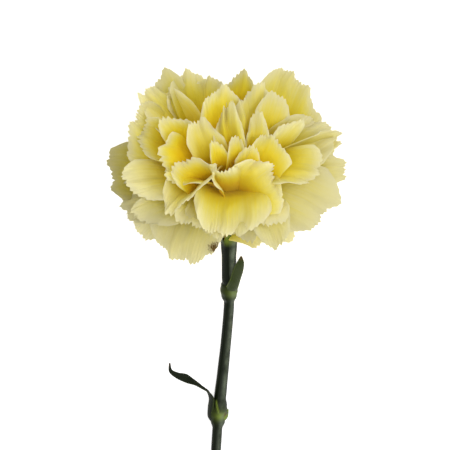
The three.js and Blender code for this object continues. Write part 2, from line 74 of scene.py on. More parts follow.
# ---- the flower's own frame ------------------------------------------------------------
@dataclass(frozen=True)
class FlowerForm:
    """The driving sizes of the flower, the same as its solids have."""

    half_width: float = 39.0
    half_length: float = 32.0
    half_depth: float = 33.0
    lean: float = 0.3
    height: float = 34.0
    axis_rise: float = 30.0
    mouth_offset: float = 1.0
    mouth_distance: float = 28.1
    calyx_length: float = 18.5
    calyx_foot_radius: float = 1.75
    lower_node: Place = (-2.6, -84.0, 3.6)

    @property
    def axis(self) -> np.ndarray:
        """The flower's axis, from the calyx to the middle of the bloom."""
        rise = math.radians(self.axis_rise)
        return np.array([0.0, math.cos(rise), math.sin(rise)])

    @property
    def face(self) -> np.ndarray:
        """The direction across the axis that looks up, out of the bloom's front."""
        return np.cross(ACROSS, self.axis)

    @property
    def centre(self) -> np.ndarray:
        """The middle of the bloom."""
        return np.array([0.0, 0.0, self.height])

    @property
    def mouth(self) -> np.ndarray:
        """The middle of the calyx mouth."""
        return self.centre - self.mouth_distance * self.axis + self.mouth_offset * ACROSS

    @property
    def calyx_foot(self) -> np.ndarray:
        """Where the calyx stands on the stem."""
        return self.mouth - self.calyx_length * self.axis

    def on_form(self, place: Place) -> np.ndarray:
        """A point over the bloom's middle plane, on its round form scaled by a share.

        Args:
            place: x and y about the bloom's centre, and the share.

        Returns:
            The point, in millimetres.
        """
        x, y, share = place
        inside = share**2 - (x / self.half_width) ** 2 - (y / self.half_length) ** 2
        rise = self.half_depth * math.sqrt(max(0.0, inside)) - self.lean * y
        return self.centre + np.array([x, y, rise])

    def round_axis(self, turn: float, height: float, radius: float) -> np.ndarray:
        """A point at a turn round the axis, a height over the mouth and a distance from the axis."""
        out = math.cos(turn) * ACROSS + math.sin(turn) * self.face
        return self.mouth + height * self.axis + radius * out

    def to_frame(self, points: np.ndarray) -> np.ndarray:
        """Turns points of the flower's own frame into points of the model's frame.

        The calyx foot is a plain disc across the axis, so the calyx solid's box says where the
        flower stands in the frame.

        Args:
            points: any number of them, in millimetres.

        Returns:
            The points, in metres.
        """
        low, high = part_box("calyx")
        foot_edge = self.calyx_foot[1] - self.calyx_foot_radius * self.axis[2]
        across = (low.x + high.x) / 2 - self.mouth_offset * MM
        return np.asarray(points) * MM + np.array([across, low.y - foot_edge * MM, 0.0])


FORM = FlowerForm()


def unit(vectors: np.ndarray) -> np.ndarray:
    """Vectors brought to length one along the last axis."""
    return vectors / np.maximum(np.linalg.norm(vectors, axis=-1, keepdims=True), TINY)


def smoothstep(low: float, high: float, value: np.ndarray) -> np.ndarray:
    """A soft step from 0 at low to 1 at high."""
    t = np.clip((np.asarray(value, float) - low) / (high - low), 0.0, 1.0)
    return t * t * (3.0 - 2.0 * t)


def bell(value: np.ndarray, middle: float | np.ndarray, width: float) -> np.ndarray:
    """A soft hump, 1 at its middle and near 0 at twice its width from there."""
    return np.exp(-(((value - middle) / width) ** 2))


def turns(sides: int) -> np.ndarray:
    """Even turns all the way round, in radians."""
    return np.linspace(0.0, TURN, sides, endpoint=False)


# ---- node trees ------------------------------------------------------------------------
class Number:
    """A number inside a node tree, so that sums and products are written as formulas."""

    def __init__(self, graph: Graph, socket: Socket) -> None:
        """Keeps the output that the number comes from, and its tree."""
        self.graph = graph
        self.socket = socket

    def __add__(self, other: Number | float) -> Number:
        """The sum."""
        return self.graph.math("ADD", self, other)

    def __sub__(self, other: Number | float) -> Number:
        """The difference."""
        return self.graph.math("SUBTRACT", self, other)

    def __rsub__(self, other: float) -> Number:
        """The difference from a plain number."""
        return self.graph.math("SUBTRACT", other, self)

    def __mul__(self, other: Number | float) -> Number:
        """The product."""
        return self.graph.math("MULTIPLY", self, other)

    def __truediv__(self, other: Number | float) -> Number:
        """The quotient."""
        return self.graph.math("DIVIDE", self, other)

    def __pow__(self, power: float) -> Number:
        """The power."""
        return self.graph.math("POWER", self, power)

    def at_least(self, least: float) -> Number:
        """The number, or the least value where it is smaller."""
        return self.graph.math("MAXIMUM", self, least)

    def spread(self, span: Span) -> Number:
        """A number from 0 to 1, spread over a span."""
        return self * (span[1] - span[0]) + span[0]


Value = float | tuple[float, ...] | Socket | Number


class Graph:
    """A node tree that is written as short calls."""

    def __init__(self, tree: bpy.types.NodeTree) -> None:
        """Starts on an empty tree."""
        self.tree = tree
        self.tree.nodes.clear()

    def node(self, kind: str, inputs: dict | None = None, **settings: str) -> bpy.types.Node:
        """Adds a node.

        Args:
            kind: the node's type name.
            inputs: socket name or number to a value or to another node's output.
            settings: the node's own options.

        Returns:
            The node.
        """
        made = self.tree.nodes.new(kind)
        for name, value in settings.items():
            setattr(made, name, value)
        for key, value in (inputs or {}).items():
            self.feed(made.inputs[key], value)
        return made

    def feed(self, socket: Socket, value: Value) -> None:
        """Links a socket to an output, or sets its value.

        Args:
            socket: the socket.
            value: what it takes.
        """
        source = value.socket if isinstance(value, Number) else value
        if isinstance(source, Socket):
            self.tree.links.new(source, socket)
        else:
            socket.default_value = source

    def math(self, operation: str, *values: Value) -> Number:
        """A sum, product or function of numbers."""
        inputs = dict(enumerate(values))
        return Number(self, self.node("ShaderNodeMath", inputs, operation=operation).outputs[0])

    def vector(self, operation: str, *values: Value) -> Socket:
        """A sum, product or function of vectors."""
        inputs = dict(enumerate(values))
        return self.node("ShaderNodeVectorMath", inputs, operation=operation).outputs[0]

    def scaled(self, vector: Socket, scale: Value) -> Socket:
        """A vector times a number."""
        inputs = {0: vector, "Scale": scale}
        return self.node("ShaderNodeVectorMath", inputs, operation="SCALE").outputs[0]

    def point(self, x: Value, y: Value, z: Value = 0.0) -> Socket:
        """A vector from its three parts."""
        return self.node("ShaderNodeCombineXYZ", {"X": x, "Y": y, "Z": z}).outputs[0]

    def noise(self, place: Socket, scale: float, detail: float, roughness: float = 0.5) -> Number:
        """A soft random number from 0 to 1."""
        inputs = {"Vector": place, "Scale": scale, "Detail": detail, "Roughness": roughness}
        return Number(self, self.node("ShaderNodeTexNoise", inputs).outputs["Fac"])


class GeometryGraph(Graph):
    """A Geometry Nodes tree with named inputs, whose result becomes a plain mesh."""

    crease: float = 0.9
    """The angle between two faces, in radians, from which the edge between them stays sharp."""

    def __init__(self, name: str) -> None:
        """Makes the tree with its geometry input and output.

        Args:
            name: the tree's name.
        """
        super().__init__(bpy.data.node_groups.new(name, "GeometryNodeTree"))
        self.sockets: dict[str, str] = {}
        self.entry = self.node("NodeGroupInput")
        self.exit = self.node("NodeGroupOutput")
        self.geometry = self.input("Geometry", "NodeSocketGeometry")
        self.tree.interface.new_socket("Geometry", in_out="OUTPUT", socket_type="NodeSocketGeometry")

    def input(self, name: str, kind: str) -> Socket:
        """Adds a named input.

        Args:
            name: the input's name.
            kind: the type of its socket.

        Returns:
            The output that gives it inside the tree.
        """
        item = self.tree.interface.new_socket(name, in_out="INPUT", socket_type=kind)
        self.sockets[name] = item.identifier
        return self.entry.outputs[name]

    def number(self, name: str) -> Number:
        """Adds a named input for a number."""
        return Number(self, self.input(name, "NodeSocketFloat"))

    def attribute(self, name: str) -> Number:
        """A number that the mesh carries."""
        made = self.node("GeometryNodeInputNamedAttribute", {"Name": name}, data_type="FLOAT")
        return Number(self, made.outputs["Attribute"])

    def direction(self, name: str) -> Socket:
        """A vector that the mesh carries."""
        kind, inputs = "GeometryNodeInputNamedAttribute", {"Name": name}
        return self.node(kind, inputs, data_type="FLOAT_VECTOR").outputs["Attribute"]

    def place(self) -> Socket:
        """Where each point is."""
        return self.node("GeometryNodeInputPosition").outputs[0]

    def close(self, geometry: Socket, material: Socket) -> None:
        """Ends the tree in a smooth, real mesh with its material.

        Args:
            geometry: the finished geometry.
            material: its material.
        """
        bend = self.node("GeometryNodeInputMeshEdgeAngle").outputs["Unsigned Angle"]
        inputs = {"Geometry": geometry, "Shade Smooth": self.math("LESS_THAN", bend, self.crease)}
        smooth = self.node("GeometryNodeSetShadeSmooth", inputs, domain="EDGE").outputs[0]
        real = self.node("GeometryNodeRealizeInstances", {"Geometry": smooth}).outputs[0]
        inputs = {"Geometry": real, "Material": material}
        dressed = self.node("GeometryNodeSetMaterial", inputs).outputs[0]
        self.tree.links.new(dressed, self.exit.inputs["Geometry"])

    def run(self, source: bpy.types.Object, name: str, values: dict[str, object]) -> bpy.types.Object:
        """Runs the tree on an object and returns the result as a new plain mesh object.

        Args:
            source: the object that the tree works on; it is removed afterwards.
            name: the new object's name.
            values: input name to value.

        Returns:
            The finished object, with no modifier left.
        """
        modifier = source.modifiers.new("nodes", "NODES")
        modifier.node_group = self.tree
        for key, value in values.items():
            modifier[self.sockets[key]] = value
        bpy.context.view_layer.update()
        graph = bpy.context.evaluated_depsgraph_get()
        mesh = bpy.data.meshes.new_from_object(source.evaluated_get(graph), depsgraph=graph)
        source.modifiers.remove(modifier)
        bpy.data.objects.remove(source)
        mesh.name = name
        return link_object(name, mesh)


# ---- meshes ----------------------------------------------------------------------------
def link_object(name: str, data: bpy.types.ID) -> bpy.types.Object:
    """Puts a mesh, a light or a camera into the scene as an object at the origin.

    Args:
        name: the object's name.
        data: what it shows.

    Returns:
        The object.
    """
    made = bpy.data.objects.new(name, data)
    bpy.context.scene.collection.objects.link(made)
    return made


def make_mesh(
    name: str, points: np.ndarray, faces: list[list[int]], attributes: dict[str, np.ndarray]
) -> bpy.types.Mesh:
    """Makes a mesh from points in the flower's own frame.

    Args:
        name: the mesh's name.
        points: N by 3, in millimetres.
        faces: the point numbers of each face.
        attributes: name to one number or one vector for each point.

    Returns:
        The mesh, in metres of the model's frame.
    """
    mesh = bpy.data.meshes.new(name)
    mesh.from_pydata(FORM.to_frame(points).tolist(), [], faces)
    for key, values in attributes.items():
        kind, slot = ("FLOAT", "value") if values.ndim == 1 else ("FLOAT_VECTOR", "vector")
        store = mesh.attributes.new(key, kind, "POINT")
        store.data.foreach_set(slot, np.ascontiguousarray(values, np.float32).ravel())
    mesh.update()
    return mesh


def grid_faces(rows: int, columns: int, closed: bool = False) -> np.ndarray:
    """Quads over a grid of points.

    Args:
        rows: points along the first direction.
        columns: points along the second.
        closed: whether the columns run round into a ring.

    Returns:
        M by 4 point numbers.
    """
    wide = columns if closed else columns - 1
    i, j = np.meshgrid(np.arange(rows - 1), np.arange(wide), indexing="ij")
    after = (j + 1) % columns
    here, there = i * columns, (i + 1) * columns
    return np.stack([here + j, here + after, there + after, there + j], -1).reshape(-1, 4)


def closed_skin(
    name: str, rings: np.ndarray, stores: dict[str, np.ndarray], material: bpy.types.Material
) -> bpy.types.Object:
    """A closed, smooth skin over rings of points, with a fan at either end.

    Args:
        name: the piece's name.
        rings: rings by points by 3, in millimetres.
        stores: attribute name to a number for each ring's point.
        material: its finish.

    Returns:
        The piece, with its faces pointing out.
    """
    number, sides = rings.shape[:2]
    points = np.concatenate([rings.reshape(-1, 3), rings[:1].mean(axis=1), rings[-1:].mean(axis=1)])
    first, last = number * sides, number * sides + 1
    top = (number - 1) * sides
    faces = grid_faces(number, sides, closed=True).tolist()
    faces += [[(k + 1) % sides, k, first] for k in range(sides)]
    faces += [[top + k, top + (k + 1) % sides, last] for k in range(sides)]
    full = {}
    for key, values in stores.items():
        spread = np.broadcast_to(values, (number, sides))
        full[key] = np.append(spread.ravel(), [spread[0, 0], spread[-1, 0]])
    mesh = make_mesh(name, points, faces, full)
    mesh.materials.append(material)
    shape = bmesh.new()
    shape.from_mesh(mesh)
    bmesh.ops.recalc_face_normals(shape, faces=shape.faces)
    for face in shape.faces:
        face.smooth = True
    shape.to_mesh(mesh)
    shape.free()
    return link_object(name, mesh)


def dress(piece: bpy.types.Object, node: str) -> bpy.types.Object:
    """Lets a piece ride on the body and stand for a node, whose solid it hides.

    Args:
        piece: the piece.
        node: the solid that it stands for.

    Returns:
        The piece.
    """
    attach(piece, BODY)
    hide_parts(node)
    return piece


# ---- finishes --------------------------------------------------------------------------
@dataclass(frozen=True)
class Ramp:
    """Colours along a number from 0 to 1."""

    stops: tuple[tuple[float, Colour], ...]

    def make(self, graph: Graph, along: Number) -> Socket:
        """Adds the ramp to a material.

        Args:
            graph: the material's tree.
            along: the number that the colours follow.

        Returns:
            The colour output.
        """
        made = graph.node("ShaderNodeValToRGB", {"Fac": along})
        elements = made.color_ramp.elements
        while len(elements) < len(self.stops):
            elements.new(0.5)
        for element, (position, colour) in zip(elements, self.stops):
            element.position = position
            element.color = (*colour, 1.0)
        return made.outputs["Color"]


class Finish:
    """A material made of nodes, read from Object coordinates or a piece's own attributes."""

    roughness: float = 0.55
    """How much the finer layers of its noise count."""

    def __init__(self, name: str, values: dict[str, float | tuple[float, ...]]) -> None:
        """Starts a material on one shader.

        Args:
            name: the material's name.
            values: the shader's plain values.
        """
        self.material = bpy.data.materials.new(name)
        self.material.use_nodes = True
        self.graph = Graph(self.material.node_tree)
        self.shader = self.graph.node("ShaderNodeBsdfPrincipled", values)
        self.end = self.graph.node("ShaderNodeOutputMaterial", {"Surface": self.shader.outputs[0]})

    def attribute(self, name: str) -> Number:
        """A number that the mesh carries."""
        made = self.graph.node("ShaderNodeAttribute", attribute_name=name)
        return Number(self.graph, made.outputs["Fac"])

    def place(self) -> Socket:
        """Object coordinates."""
        return self.graph.node("ShaderNodeTexCoord").outputs["Object"]

    def noise(self, place: Socket, scale: float, detail: float = 3.0) -> Number:
        """A soft random number from 0 to 1."""
        return self.graph.noise(place, scale, detail, self.roughness)

    def mix(self, share: Value, first: Socket | Colour, second: Colour, blend: str = "MIX") -> Socket:
        """One colour over another.

        Args:
            share: how much of the second colour shows.
            first: the colour below.
            second: the colour on top.
            blend: how they meet.

        Returns:
            The colour.
        """
        made = self.graph.node("ShaderNodeMix", data_type="RGBA", blend_type=blend)
        self.graph.feed(made.inputs["Factor"], share)
        colours = [socket for socket in made.inputs if socket.type == "RGBA"]
        for socket, value in zip(colours, (first, second)):
            self.graph.feed(socket, (*value, 1.0) if isinstance(value, tuple) else value)
        return next(socket for socket in made.outputs if socket.type == "RGBA")

    def let_through(self, colour: Socket, share: float) -> None:
        """Lets a share of the light through a thin sheet, in a colour.

        Args:
            colour: the light's colour behind the sheet.
            share: how much comes through.
        """
        behind = self.graph.node("ShaderNodeBsdfTranslucent", {"Color": colour}).outputs[0]
        inputs = {0: share, 1: self.shader.outputs[0], 2: behind}
        both = self.graph.node("ShaderNodeMixShader", inputs).outputs[0]
        self.graph.feed(self.end.inputs["Surface"], both)

    def bump(self, height: Number, depth: float) -> None:
        """Lets a height stand out of the surface.

        Args:
            height: from 0 to 1.
            depth: how far 1 stands out, in metres.
        """
        inputs = {"Height": height, "Strength": 1.0, "Distance": depth}
        made = self.graph.node("ShaderNodeBump", inputs)
        self.graph.feed(self.shader.inputs["Normal"], made.outputs["Normal"])


@dataclass(frozen=True)
class PetalFinish:
    """Thin, soft petal: cream at the cut edge, yellow down the blade and golden at its base.

    Streaks along the veins, clouds and each petal's own tone shift its colour along the ramp, by
    the spans given. Each petal's age and painted shade multiply its colour by an olive tint.
    """

    ramp: Ramp = Ramp(
        (
            (0.00, (0.945, 0.91, 0.64)),
            (0.12, (0.935, 0.885, 0.46)),
            (0.24, (0.93, 0.865, 0.28)),
            (0.37, (0.94, 0.845, 0.135)),
            (0.50, (0.945, 0.825, 0.06)),
            (0.72, (0.95, 0.795, 0.03)),
            (1.00, (0.94, 0.735, 0.014)),
        )
    )
    streak_scale: Place = (2.2, 2.0, 40.0)
    streak_detail: float = 4.0
    streak_span: Span = (-0.11, 0.11)
    tone_span: Span = (-0.05, 0.05)
    cloud_scale: float = 90.0
    cloud_span: Span = (-0.10, 0.10)
    steady_lip: float = 6.0
    # The olive tint of age, which also serves as painted shade.
    olive_and_shade: Colour = (0.66, 0.64, 0.50)
    dry: Colour = (0.22, 0.13, 0.02)
    dry_place: Span = (-4.0, -27.2)
    dry_radius: float = 1.9
    dry_grain: float = 1100.0
    dry_ragged: Span = (-1.3, 1.3)
    dry_edge: float = 2.5
    dry_reach: float = 9.0
    roughness: float = 0.6
    gloss: float = 0.2
    sheen: float = 0.1
    translucence: float = 0.5
    relief: float = 0.12

    def make(self) -> bpy.types.Material:
        """Builds the material.

        Returns:
            The material.
        """
        values = {
            "Roughness": self.roughness,
            "Specular IOR Level": self.gloss,
            "Sheen Weight": self.sheen,
        }
        finish = Finish("petal", values)
        graph = finish.graph
        depth, tone = finish.attribute("depth"), finish.attribute("tone")
        across, down, apart = self.streak_scale
        streak_at = graph.point(
            finish.attribute("vein") * across, finish.attribute("along") * down, tone * apart
        )
        streak = finish.noise(streak_at, 1.0, self.streak_detail)
        cloud = finish.noise(finish.place(), self.cloud_scale)
        shift = streak.spread(self.streak_span) + tone.spread(self.tone_span)
        shift += cloud.spread(self.cloud_span)
        inside = graph.math("MINIMUM", depth * self.steady_lip, 1.0)
        colour = self.ramp.make(graph, depth + shift * inside)
        # Painted shade, partly real age: each petal's share darkens its colour towards olive.
        colour = finish.mix(finish.attribute("age"), colour, self.olive_and_shade, "MULTIPLY")
        colour = finish.mix(self.dry_share(finish, depth), colour, self.dry)
        graph.feed(finish.shader.inputs["Base Color"], colour)
        finish.let_through(colour, self.translucence)
        finish.bump(streak, self.relief * MM)
        return finish.material

    def dry_share(self, finish: Finish, depth: Number) -> Number:
        """How dry the petal is: one small, ragged spot on a lip.

        Args:
            finish: the material.
            depth: how far a point lies from its lip.

        Returns:
            The share, from 0 to 1.
        """
        graph = finish.graph
        at = FORM.to_frame(FORM.centre + np.array([*self.dry_place, 0.0]))
        away = graph.vector("SUBTRACT", finish.place(), tuple(at))
        level = graph.vector("MULTIPLY", away, (1.0, 1.0, 0.0))
        length = graph.node("ShaderNodeVectorMath", {0: level}, operation="LENGTH")
        near = 1.0 - Number(graph, length.outputs["Value"]) / (self.dry_radius * MM)
        ragged = finish.noise(finish.place(), self.dry_grain).spread(self.dry_ragged)
        spot = (near + ragged) * self.dry_edge
        lip = 1.0 - depth * self.dry_reach
        return spot.at_least(0.0) * lip.at_least(0.0)


@dataclass(frozen=True)
class GreenFinish:
    """Dark green skin with lengthwise nerves under a thin grey wax, paler where the mesh says so.
    Where the mesh lays the wax thicker on one side, its grey is a painted highlight.

    The spans say over what shares a noise is spread.
    """

    name: str
    deep: Colour = (0.0012, 0.0025, 0.0008)
    green: Colour = (0.007, 0.012, 0.003)
    fresh: Colour = (0.19, 0.26, 0.03)
    # The grey of the wax, which on the calyx and the stem also serves as a painted highlight.
    wax_and_highlight: Colour = (0.17, 0.20, 0.14)
    dry: Colour = (0.10, 0.055, 0.022)
    wax_and_highlight_share: float = 0.5
    wax_roughness: float = 0.5
    nerve_stretch: float = 0.09
    nerve_span: Span = (-0.3, 1.3)
    cloud_scale: float = 260.0
    cloud_detail: float = 4.0
    cloud_span: Span = (-0.5, 1.9)
    grain_scale: float = 2600.0
    grain_detail: float = 2.0
    grain_span: Span = (0.5, 1.3)
    grain_relief: float = 0.15
    relief: float = 0.12
    roughness: float = 0.32
    gloss: float = 0.10

    def make(self) -> bpy.types.Material:
        """Builds the material.

        Returns:
            The material.
        """
        finish = Finish(self.name, {"Specular IOR Level": self.gloss})
        graph = finish.graph
        place = finish.place()
        nerve_at = graph.point(finish.attribute("round"), finish.attribute("along") * self.nerve_stretch)
        nerve = finish.noise(nerve_at, 1.0)
        cloud = finish.noise(place, self.cloud_scale, self.cloud_detail)
        grain = finish.noise(place, self.grain_scale, self.grain_detail)
        skin = finish.mix(nerve.spread(self.nerve_span), self.deep, self.green)
        skin = finish.mix(finish.attribute("fresh"), skin, self.fresh)
        # Painted highlight, partly real wax: the grey lies where the mesh lays it, thickest on the side
        # that faces the key light.
        wax_and_highlight = cloud.spread(self.cloud_span) * finish.attribute("wax_and_highlight") * self.wax_and_highlight_share
        wax_and_highlight = (wax_and_highlight * grain.spread(self.grain_span)).at_least(0.0)
        skin = finish.mix(wax_and_highlight, skin, self.wax_and_highlight)
        skin = finish.mix(finish.attribute("dry"), skin, self.dry)
        graph.feed(finish.shader.inputs["Base Color"], skin)
        graph.feed(finish.shader.inputs["Roughness"], wax_and_highlight * self.wax_roughness + self.roughness)
        finish.bump(grain * self.grain_relief + nerve, self.relief * MM)
        return finish.material


# ---- petals ----------------------------------------------------------------------------
class Stance(Enum):
    """How a blade leaves the core.

    The numbers are its reach before it bends, where it comes into view and how straight it goes.
    """

    RISING = (0.45, 0.30, 0.0)
    FLARING = (0.18, 0.06, 0.0)
    STANDING = (0.75, 0.40, 0.8)

    @property
    def reach(self) -> float:
        """How far it runs along the axis before it bends, as a share of its way to the lead."""
        return self.value[0]

    @property
    def start(self) -> float:
        """The share of its length at which its surface begins."""
        return self.value[1]

    @property
    def straight(self) -> float:
        """How straight it makes for its lead, from 0 for along the axis to 1."""
        return self.value[2]


@dataclass
class Petal:
    """One petal: three points of its lip, the lead that it comes out by, its stance, and its age and
    painted shade.
    """

    left: np.ndarray
    middle: np.ndarray
    right: np.ndarray
    lead: np.ndarray
    stance: Stance
    number: int
    age: float = 0.0
    paleness: float = 1.0

    lip_rounding: float = 0.1
    lip_power: int = 4
    lead_width: float = 0.95
    root_half_width: float = 2.6
    root_height: float = 2.0
    root_radius: float = 1.2
    tooth_width: float = 1.5
    fewest_teeth: int = 6
    usual_teeth: float = 15.0
    columns_per_tooth: int = 4
    rows: int = 26
    crowding: float = 1.35
    wave_step: float = 2.4
    tone_step: float = 0.618
    size_power: float = 1.5
    size_limits: Span = (0.25, 1.25)
    # How much more olive a petal turns at the bloom's outline: partly age, partly painted shade.
    rim_age_and_shade: float = 0.27
    # Three pairs of lines: two shares of the way out, or two places, and the values there.
    pale_shares: Span = (0.25, 1.0)
    pale_reach: Span = (3.5, 13.0)
    front_places: Span = (-16.0, -2.0)
    front_paleness: Span = (2.2, 1.0)
    free_shares: Span = (0.4, 1.0)
    freedom: Span = (1.0, 0.5)

    def teeth(self) -> int:
        """How many teeth the lip is cut into."""
        length = np.linalg.norm(self.middle - self.left) + np.linalg.norm(self.right - self.middle)
        return max(self.fewest_teeth, round(float(length) / self.tooth_width))

    def rim_share(self) -> float:
        """How far out the petal stands: 0 at the heart and 1 at the bloom's outline."""
        x, y, _ = self.middle - FORM.centre
        return float(np.hypot(x / FORM.half_width, y / FORM.half_length))

    def surface(self, u: np.ndarray, v: np.ndarray) -> tuple[np.ndarray, np.ndarray]:
        """The petal's middle layer: curves from the calyx mouth by the bend and the lead to the lip.

        Args:
            u: places across the petal, from -1 to 1.
            v: places along it, from 0 at its root to 1 at its lip.

        Returns:
            Its points, and the direction in which the petal reaches out at each.
        """
        away = self.middle - FORM.mouth
        out = unit(away - np.dot(away, FORM.axis) * FORM.axis)
        root = FORM.mouth + self.root_height * FORM.axis + self.root_radius * out
        rise = self.lead - root
        straight = self.stance.straight
        course = (1.0 - straight) * np.linalg.norm(rise) * FORM.axis + straight * rise
        bend = root + self.stance.reach * course
        half = self.root_half_width * u * unit(self.right - self.left)
        lip = self.left * u * (u - 1) / 2 + self.middle * (1 - u * u) + self.right * u * (u + 1) / 2
        lead = self.lead + self.lead_width * (lip - self.middle)
        w = 1.0 - v
        points = w**3 * (root + half) + 3 * w * w * v * (bend + 2 * half)
        points = points + 3 * w * v * v * lead + v**3 * lip
        return points, np.broadcast_to(unit(lip - lead), points.shape)

    def sheet(self) -> tuple[np.ndarray, np.ndarray, dict[str, np.ndarray]]:
        """The petal's smooth middle layer, before it is cut and waved.

        Returns:
            Points, quads, and the attributes that the cutter and the finish read.
        """
        teeth, rim = self.teeth(), self.rim_share()
        u = np.linspace(-1.0, 1.0, self.columns_per_tooth * teeth + 1)[None, :, None]
        step = np.linspace(0.0, 1.0, self.rows)[:, None, None]
        start = self.stance.start
        seen = start + (1.0 - start) * (1.0 - (1.0 - step) ** self.crowding)
        v = seen * (1.0 - self.lip_rounding * u**self.lip_power)
        points, outward = self.surface(u, v)
        shape = points.shape[:2]
        chord = np.broadcast_to(self.right - self.left, outward.shape)
        spread = np.broadcast_to(u[..., 0], shape)
        steps = np.linalg.norm(np.diff(points, axis=0), axis=-1)
        below = np.concatenate([np.cumsum(steps[::-1], axis=0)[::-1], np.zeros((1, shape[1]))])
        pale = self.paleness * np.interp(rim, self.pale_shares, self.pale_reach)
        pale *= np.interp(self.middle[1] - FORM.centre[1], self.front_places, self.front_paleness)
        freedom = float(np.interp(rim, self.free_shares, self.freedom))
        size = float(np.clip((teeth / self.usual_teeth) ** self.size_power, *self.size_limits))
        whole = {
            "size": size * freedom,
            "freedom": freedom,
            "wave": self.wave_step * self.number,
            "tone": (self.number * self.tone_step) % 1.0,
            # Painted shade, partly real age: the petal's own share, plus more towards the bloom's
            # outline.
            "age": np.clip(self.age + self.rim_age_and_shade * rim**2, 0.0, 1.0),
        }
        attributes = {
            "along": np.broadcast_to(v[..., 0], shape),
            "spread": spread,
            "vein": (spread + 1.0) / 2.0 * teeth,
            "depth": np.minimum(below / (2.0 * pale), 1.0),
            "facing": unit(np.cross(chord, outward)),
            "outward": outward,
        }
        attributes |= {key: np.full(shape, value) for key, value in whole.items()}
        flat = {}
        for key, values in attributes.items():
            flat[key] = values.reshape(-1, 3) if values.ndim == 3 else values.ravel()
        return points.reshape(-1, 3), grid_faces(*shape), flat


@dataclass
class PetalCutter:
    """Waves, veins and cuts petals, and gives them their thickness, by one node tree.

    Each power says how close to the lip its effect keeps: it takes the share along the petal.
    """

    ruffle: float = 1.9
    ruffle_power: float = 4.0
    teeth_per_wave: float = 7.0
    slip: float = 9.0
    slip_rate: float = 0.13
    flutter: float = 0.42
    flutter_power: float = 9.0
    flutter_rate: float = 2.1
    flutter_start: float = 3.1
    flutter_slip: float = 0.6
    crumple: float = 6.0
    crumple_across: float = 1.3
    crumple_along: float = 3.0
    crumple_detail: float = 2.0
    curl: float = 2.4
    curl_power: float = 7.0
    curl_rate: float = 2.1
    curl_start: float = 1.7
    vein_relief: float = 0.05
    vein_power: float = 3.0
    drift_size: float = 6.0
    drift_scale: float = 0.085
    drift_power: float = 3.0
    tooth_depth: float = 1.1
    tooth_reach: float = 0.4
    tooth_power: float = 20.0
    uneven_scale: float = 0.8
    uneven_detail: float = 3.0
    uneven_gain: float = 1.8
    uneven_contrast: float = 2.0
    lobe: float = 0.45
    lobe_rate: float = 1.05
    thickness: float = 0.3
    thin_lip: float = 0.7
    thin_power: float = 8.0
    pressed: float = 0.3
    pressed_softness: float = 0.6
    weld: float = 0.001
    tree: GeometryGraph = field(init=False)

    def __post_init__(self) -> None:
        """Builds the tree once, for every group of petals."""
        self.tree = self.build()

    def relief(self, graph: GeometryGraph) -> Number:
        """How far each point of a petal moves out of its sheet.

        Args:
            graph: the cutter's tree, whose inputs are made here.

        Returns:
            The height, in metres.
        """
        along, vein, wave = (graph.attribute(name) for name in ("along", "vein", "wave"))
        spread, size = graph.attribute("spread"), graph.attribute("size")

        def noise(x: Number, y: Number, detail: float) -> Number:
            """A soft random number about 0, of which each petal has its own."""
            return graph.noise(graph.point(x, y, wave), 1.0, detail) - 0.5

        slip = noise(vein * self.slip_rate, along, 1.0) * self.slip
        broad_turn = vein / graph.number("Teeth Per Wave") * TURN + wave + slip
        fine_turn = vein * self.flutter_rate + wave * self.flutter_start + slip * self.flutter_slip
        bent_turn = spread * self.curl_rate + wave * self.curl_start
        soft = noise(spread * self.crumple_across, along * self.crumple_along, self.crumple_detail)
        ruffle = graph.number("Ruffle") * size * along**self.ruffle_power
        height = graph.math("SINE", broad_turn) * ruffle
        height += graph.math("SINE", fine_turn) * (graph.number("Flutter") * along**self.flutter_power)
        height += soft * (graph.number("Crumple") * (along * size))
        height += graph.math("SINE", bent_turn) * (graph.number("Curl") * along**self.curl_power)
        ridge = graph.math("COSINE", vein * TURN)
        return height + ridge * (graph.number("Vein Relief") * along**self.vein_power)

    def notches(self, graph: GeometryGraph) -> Number:
        """How far each point of a lip moves out, so that the lip is cut into uneven teeth.

        Args:
            graph: the cutter's tree, whose inputs are made here.

        Returns:
            The reach, in metres.
        """
        along, vein, wave = (graph.attribute(name) for name in ("along", "vein", "wave"))
        saw = graph.math("PINGPONG", vein, 0.5) * 2.0
        uneven = graph.noise(graph.point(vein, wave), self.uneven_scale, self.uneven_detail)
        cut = self.tooth_reach - saw * (uneven * self.uneven_gain) ** self.uneven_contrast
        lobes = graph.math("SINE", vein * self.lobe_rate + wave) * self.lobe
        return (cut + lobes) * graph.number("Tooth Depth") * along**self.tooth_power

    def drift(self, graph: GeometryGraph) -> Socket:
        """A slow, uneven shift that the whole bloom shares, so that no two lips are alike.

        Args:
            graph: the cutter's tree, whose inputs are made here.

        Returns:
            The shift, in metres.
        """
        place = graph.scaled(graph.place(), 1.0 / MM)
        inputs = {"Vector": place, "Scale": self.drift_scale, "Detail": 1.0}
        noise = graph.node("ShaderNodeTexNoise", inputs).outputs["Color"]
        middle = graph.vector("SUBTRACT", noise, (0.5, 0.5, 0.5))
        share = graph.attribute("along") ** self.drift_power * graph.attribute("freedom")
        return graph.scaled(middle, graph.number("Drift") * share)

    def build(self) -> GeometryGraph:
        """Writes the tree.

        Returns:
            The finished tree.
        """
        graph = GeometryGraph("petal_cutter")
        material = graph.input("Material", "NodeSocketMaterial")
        raised = graph.scaled(graph.direction("facing"), self.relief(graph))
        raised = graph.vector("ADD", raised, self.drift(graph))
        reach = graph.scaled(graph.direction("outward"), self.notches(graph))
        inputs = {"Geometry": graph.geometry, "Offset": graph.vector("ADD", raised, reach)}
        waved = graph.node("GeometryNodeSetPosition", inputs).outputs[0]

        split = graph.node("ShaderNodeSeparateXYZ", {0: graph.place()}).outputs
        softness = self.pressed_softness * MM
        lowest = graph.math("SMOOTH_MAX", split["Z"], graph.number("Floor"), softness)
        inputs = {"Geometry": waved, "Position": graph.point(split["X"], split["Y"], lowest)}
        laid = graph.node("GeometryNodeSetPosition", inputs).outputs[0]

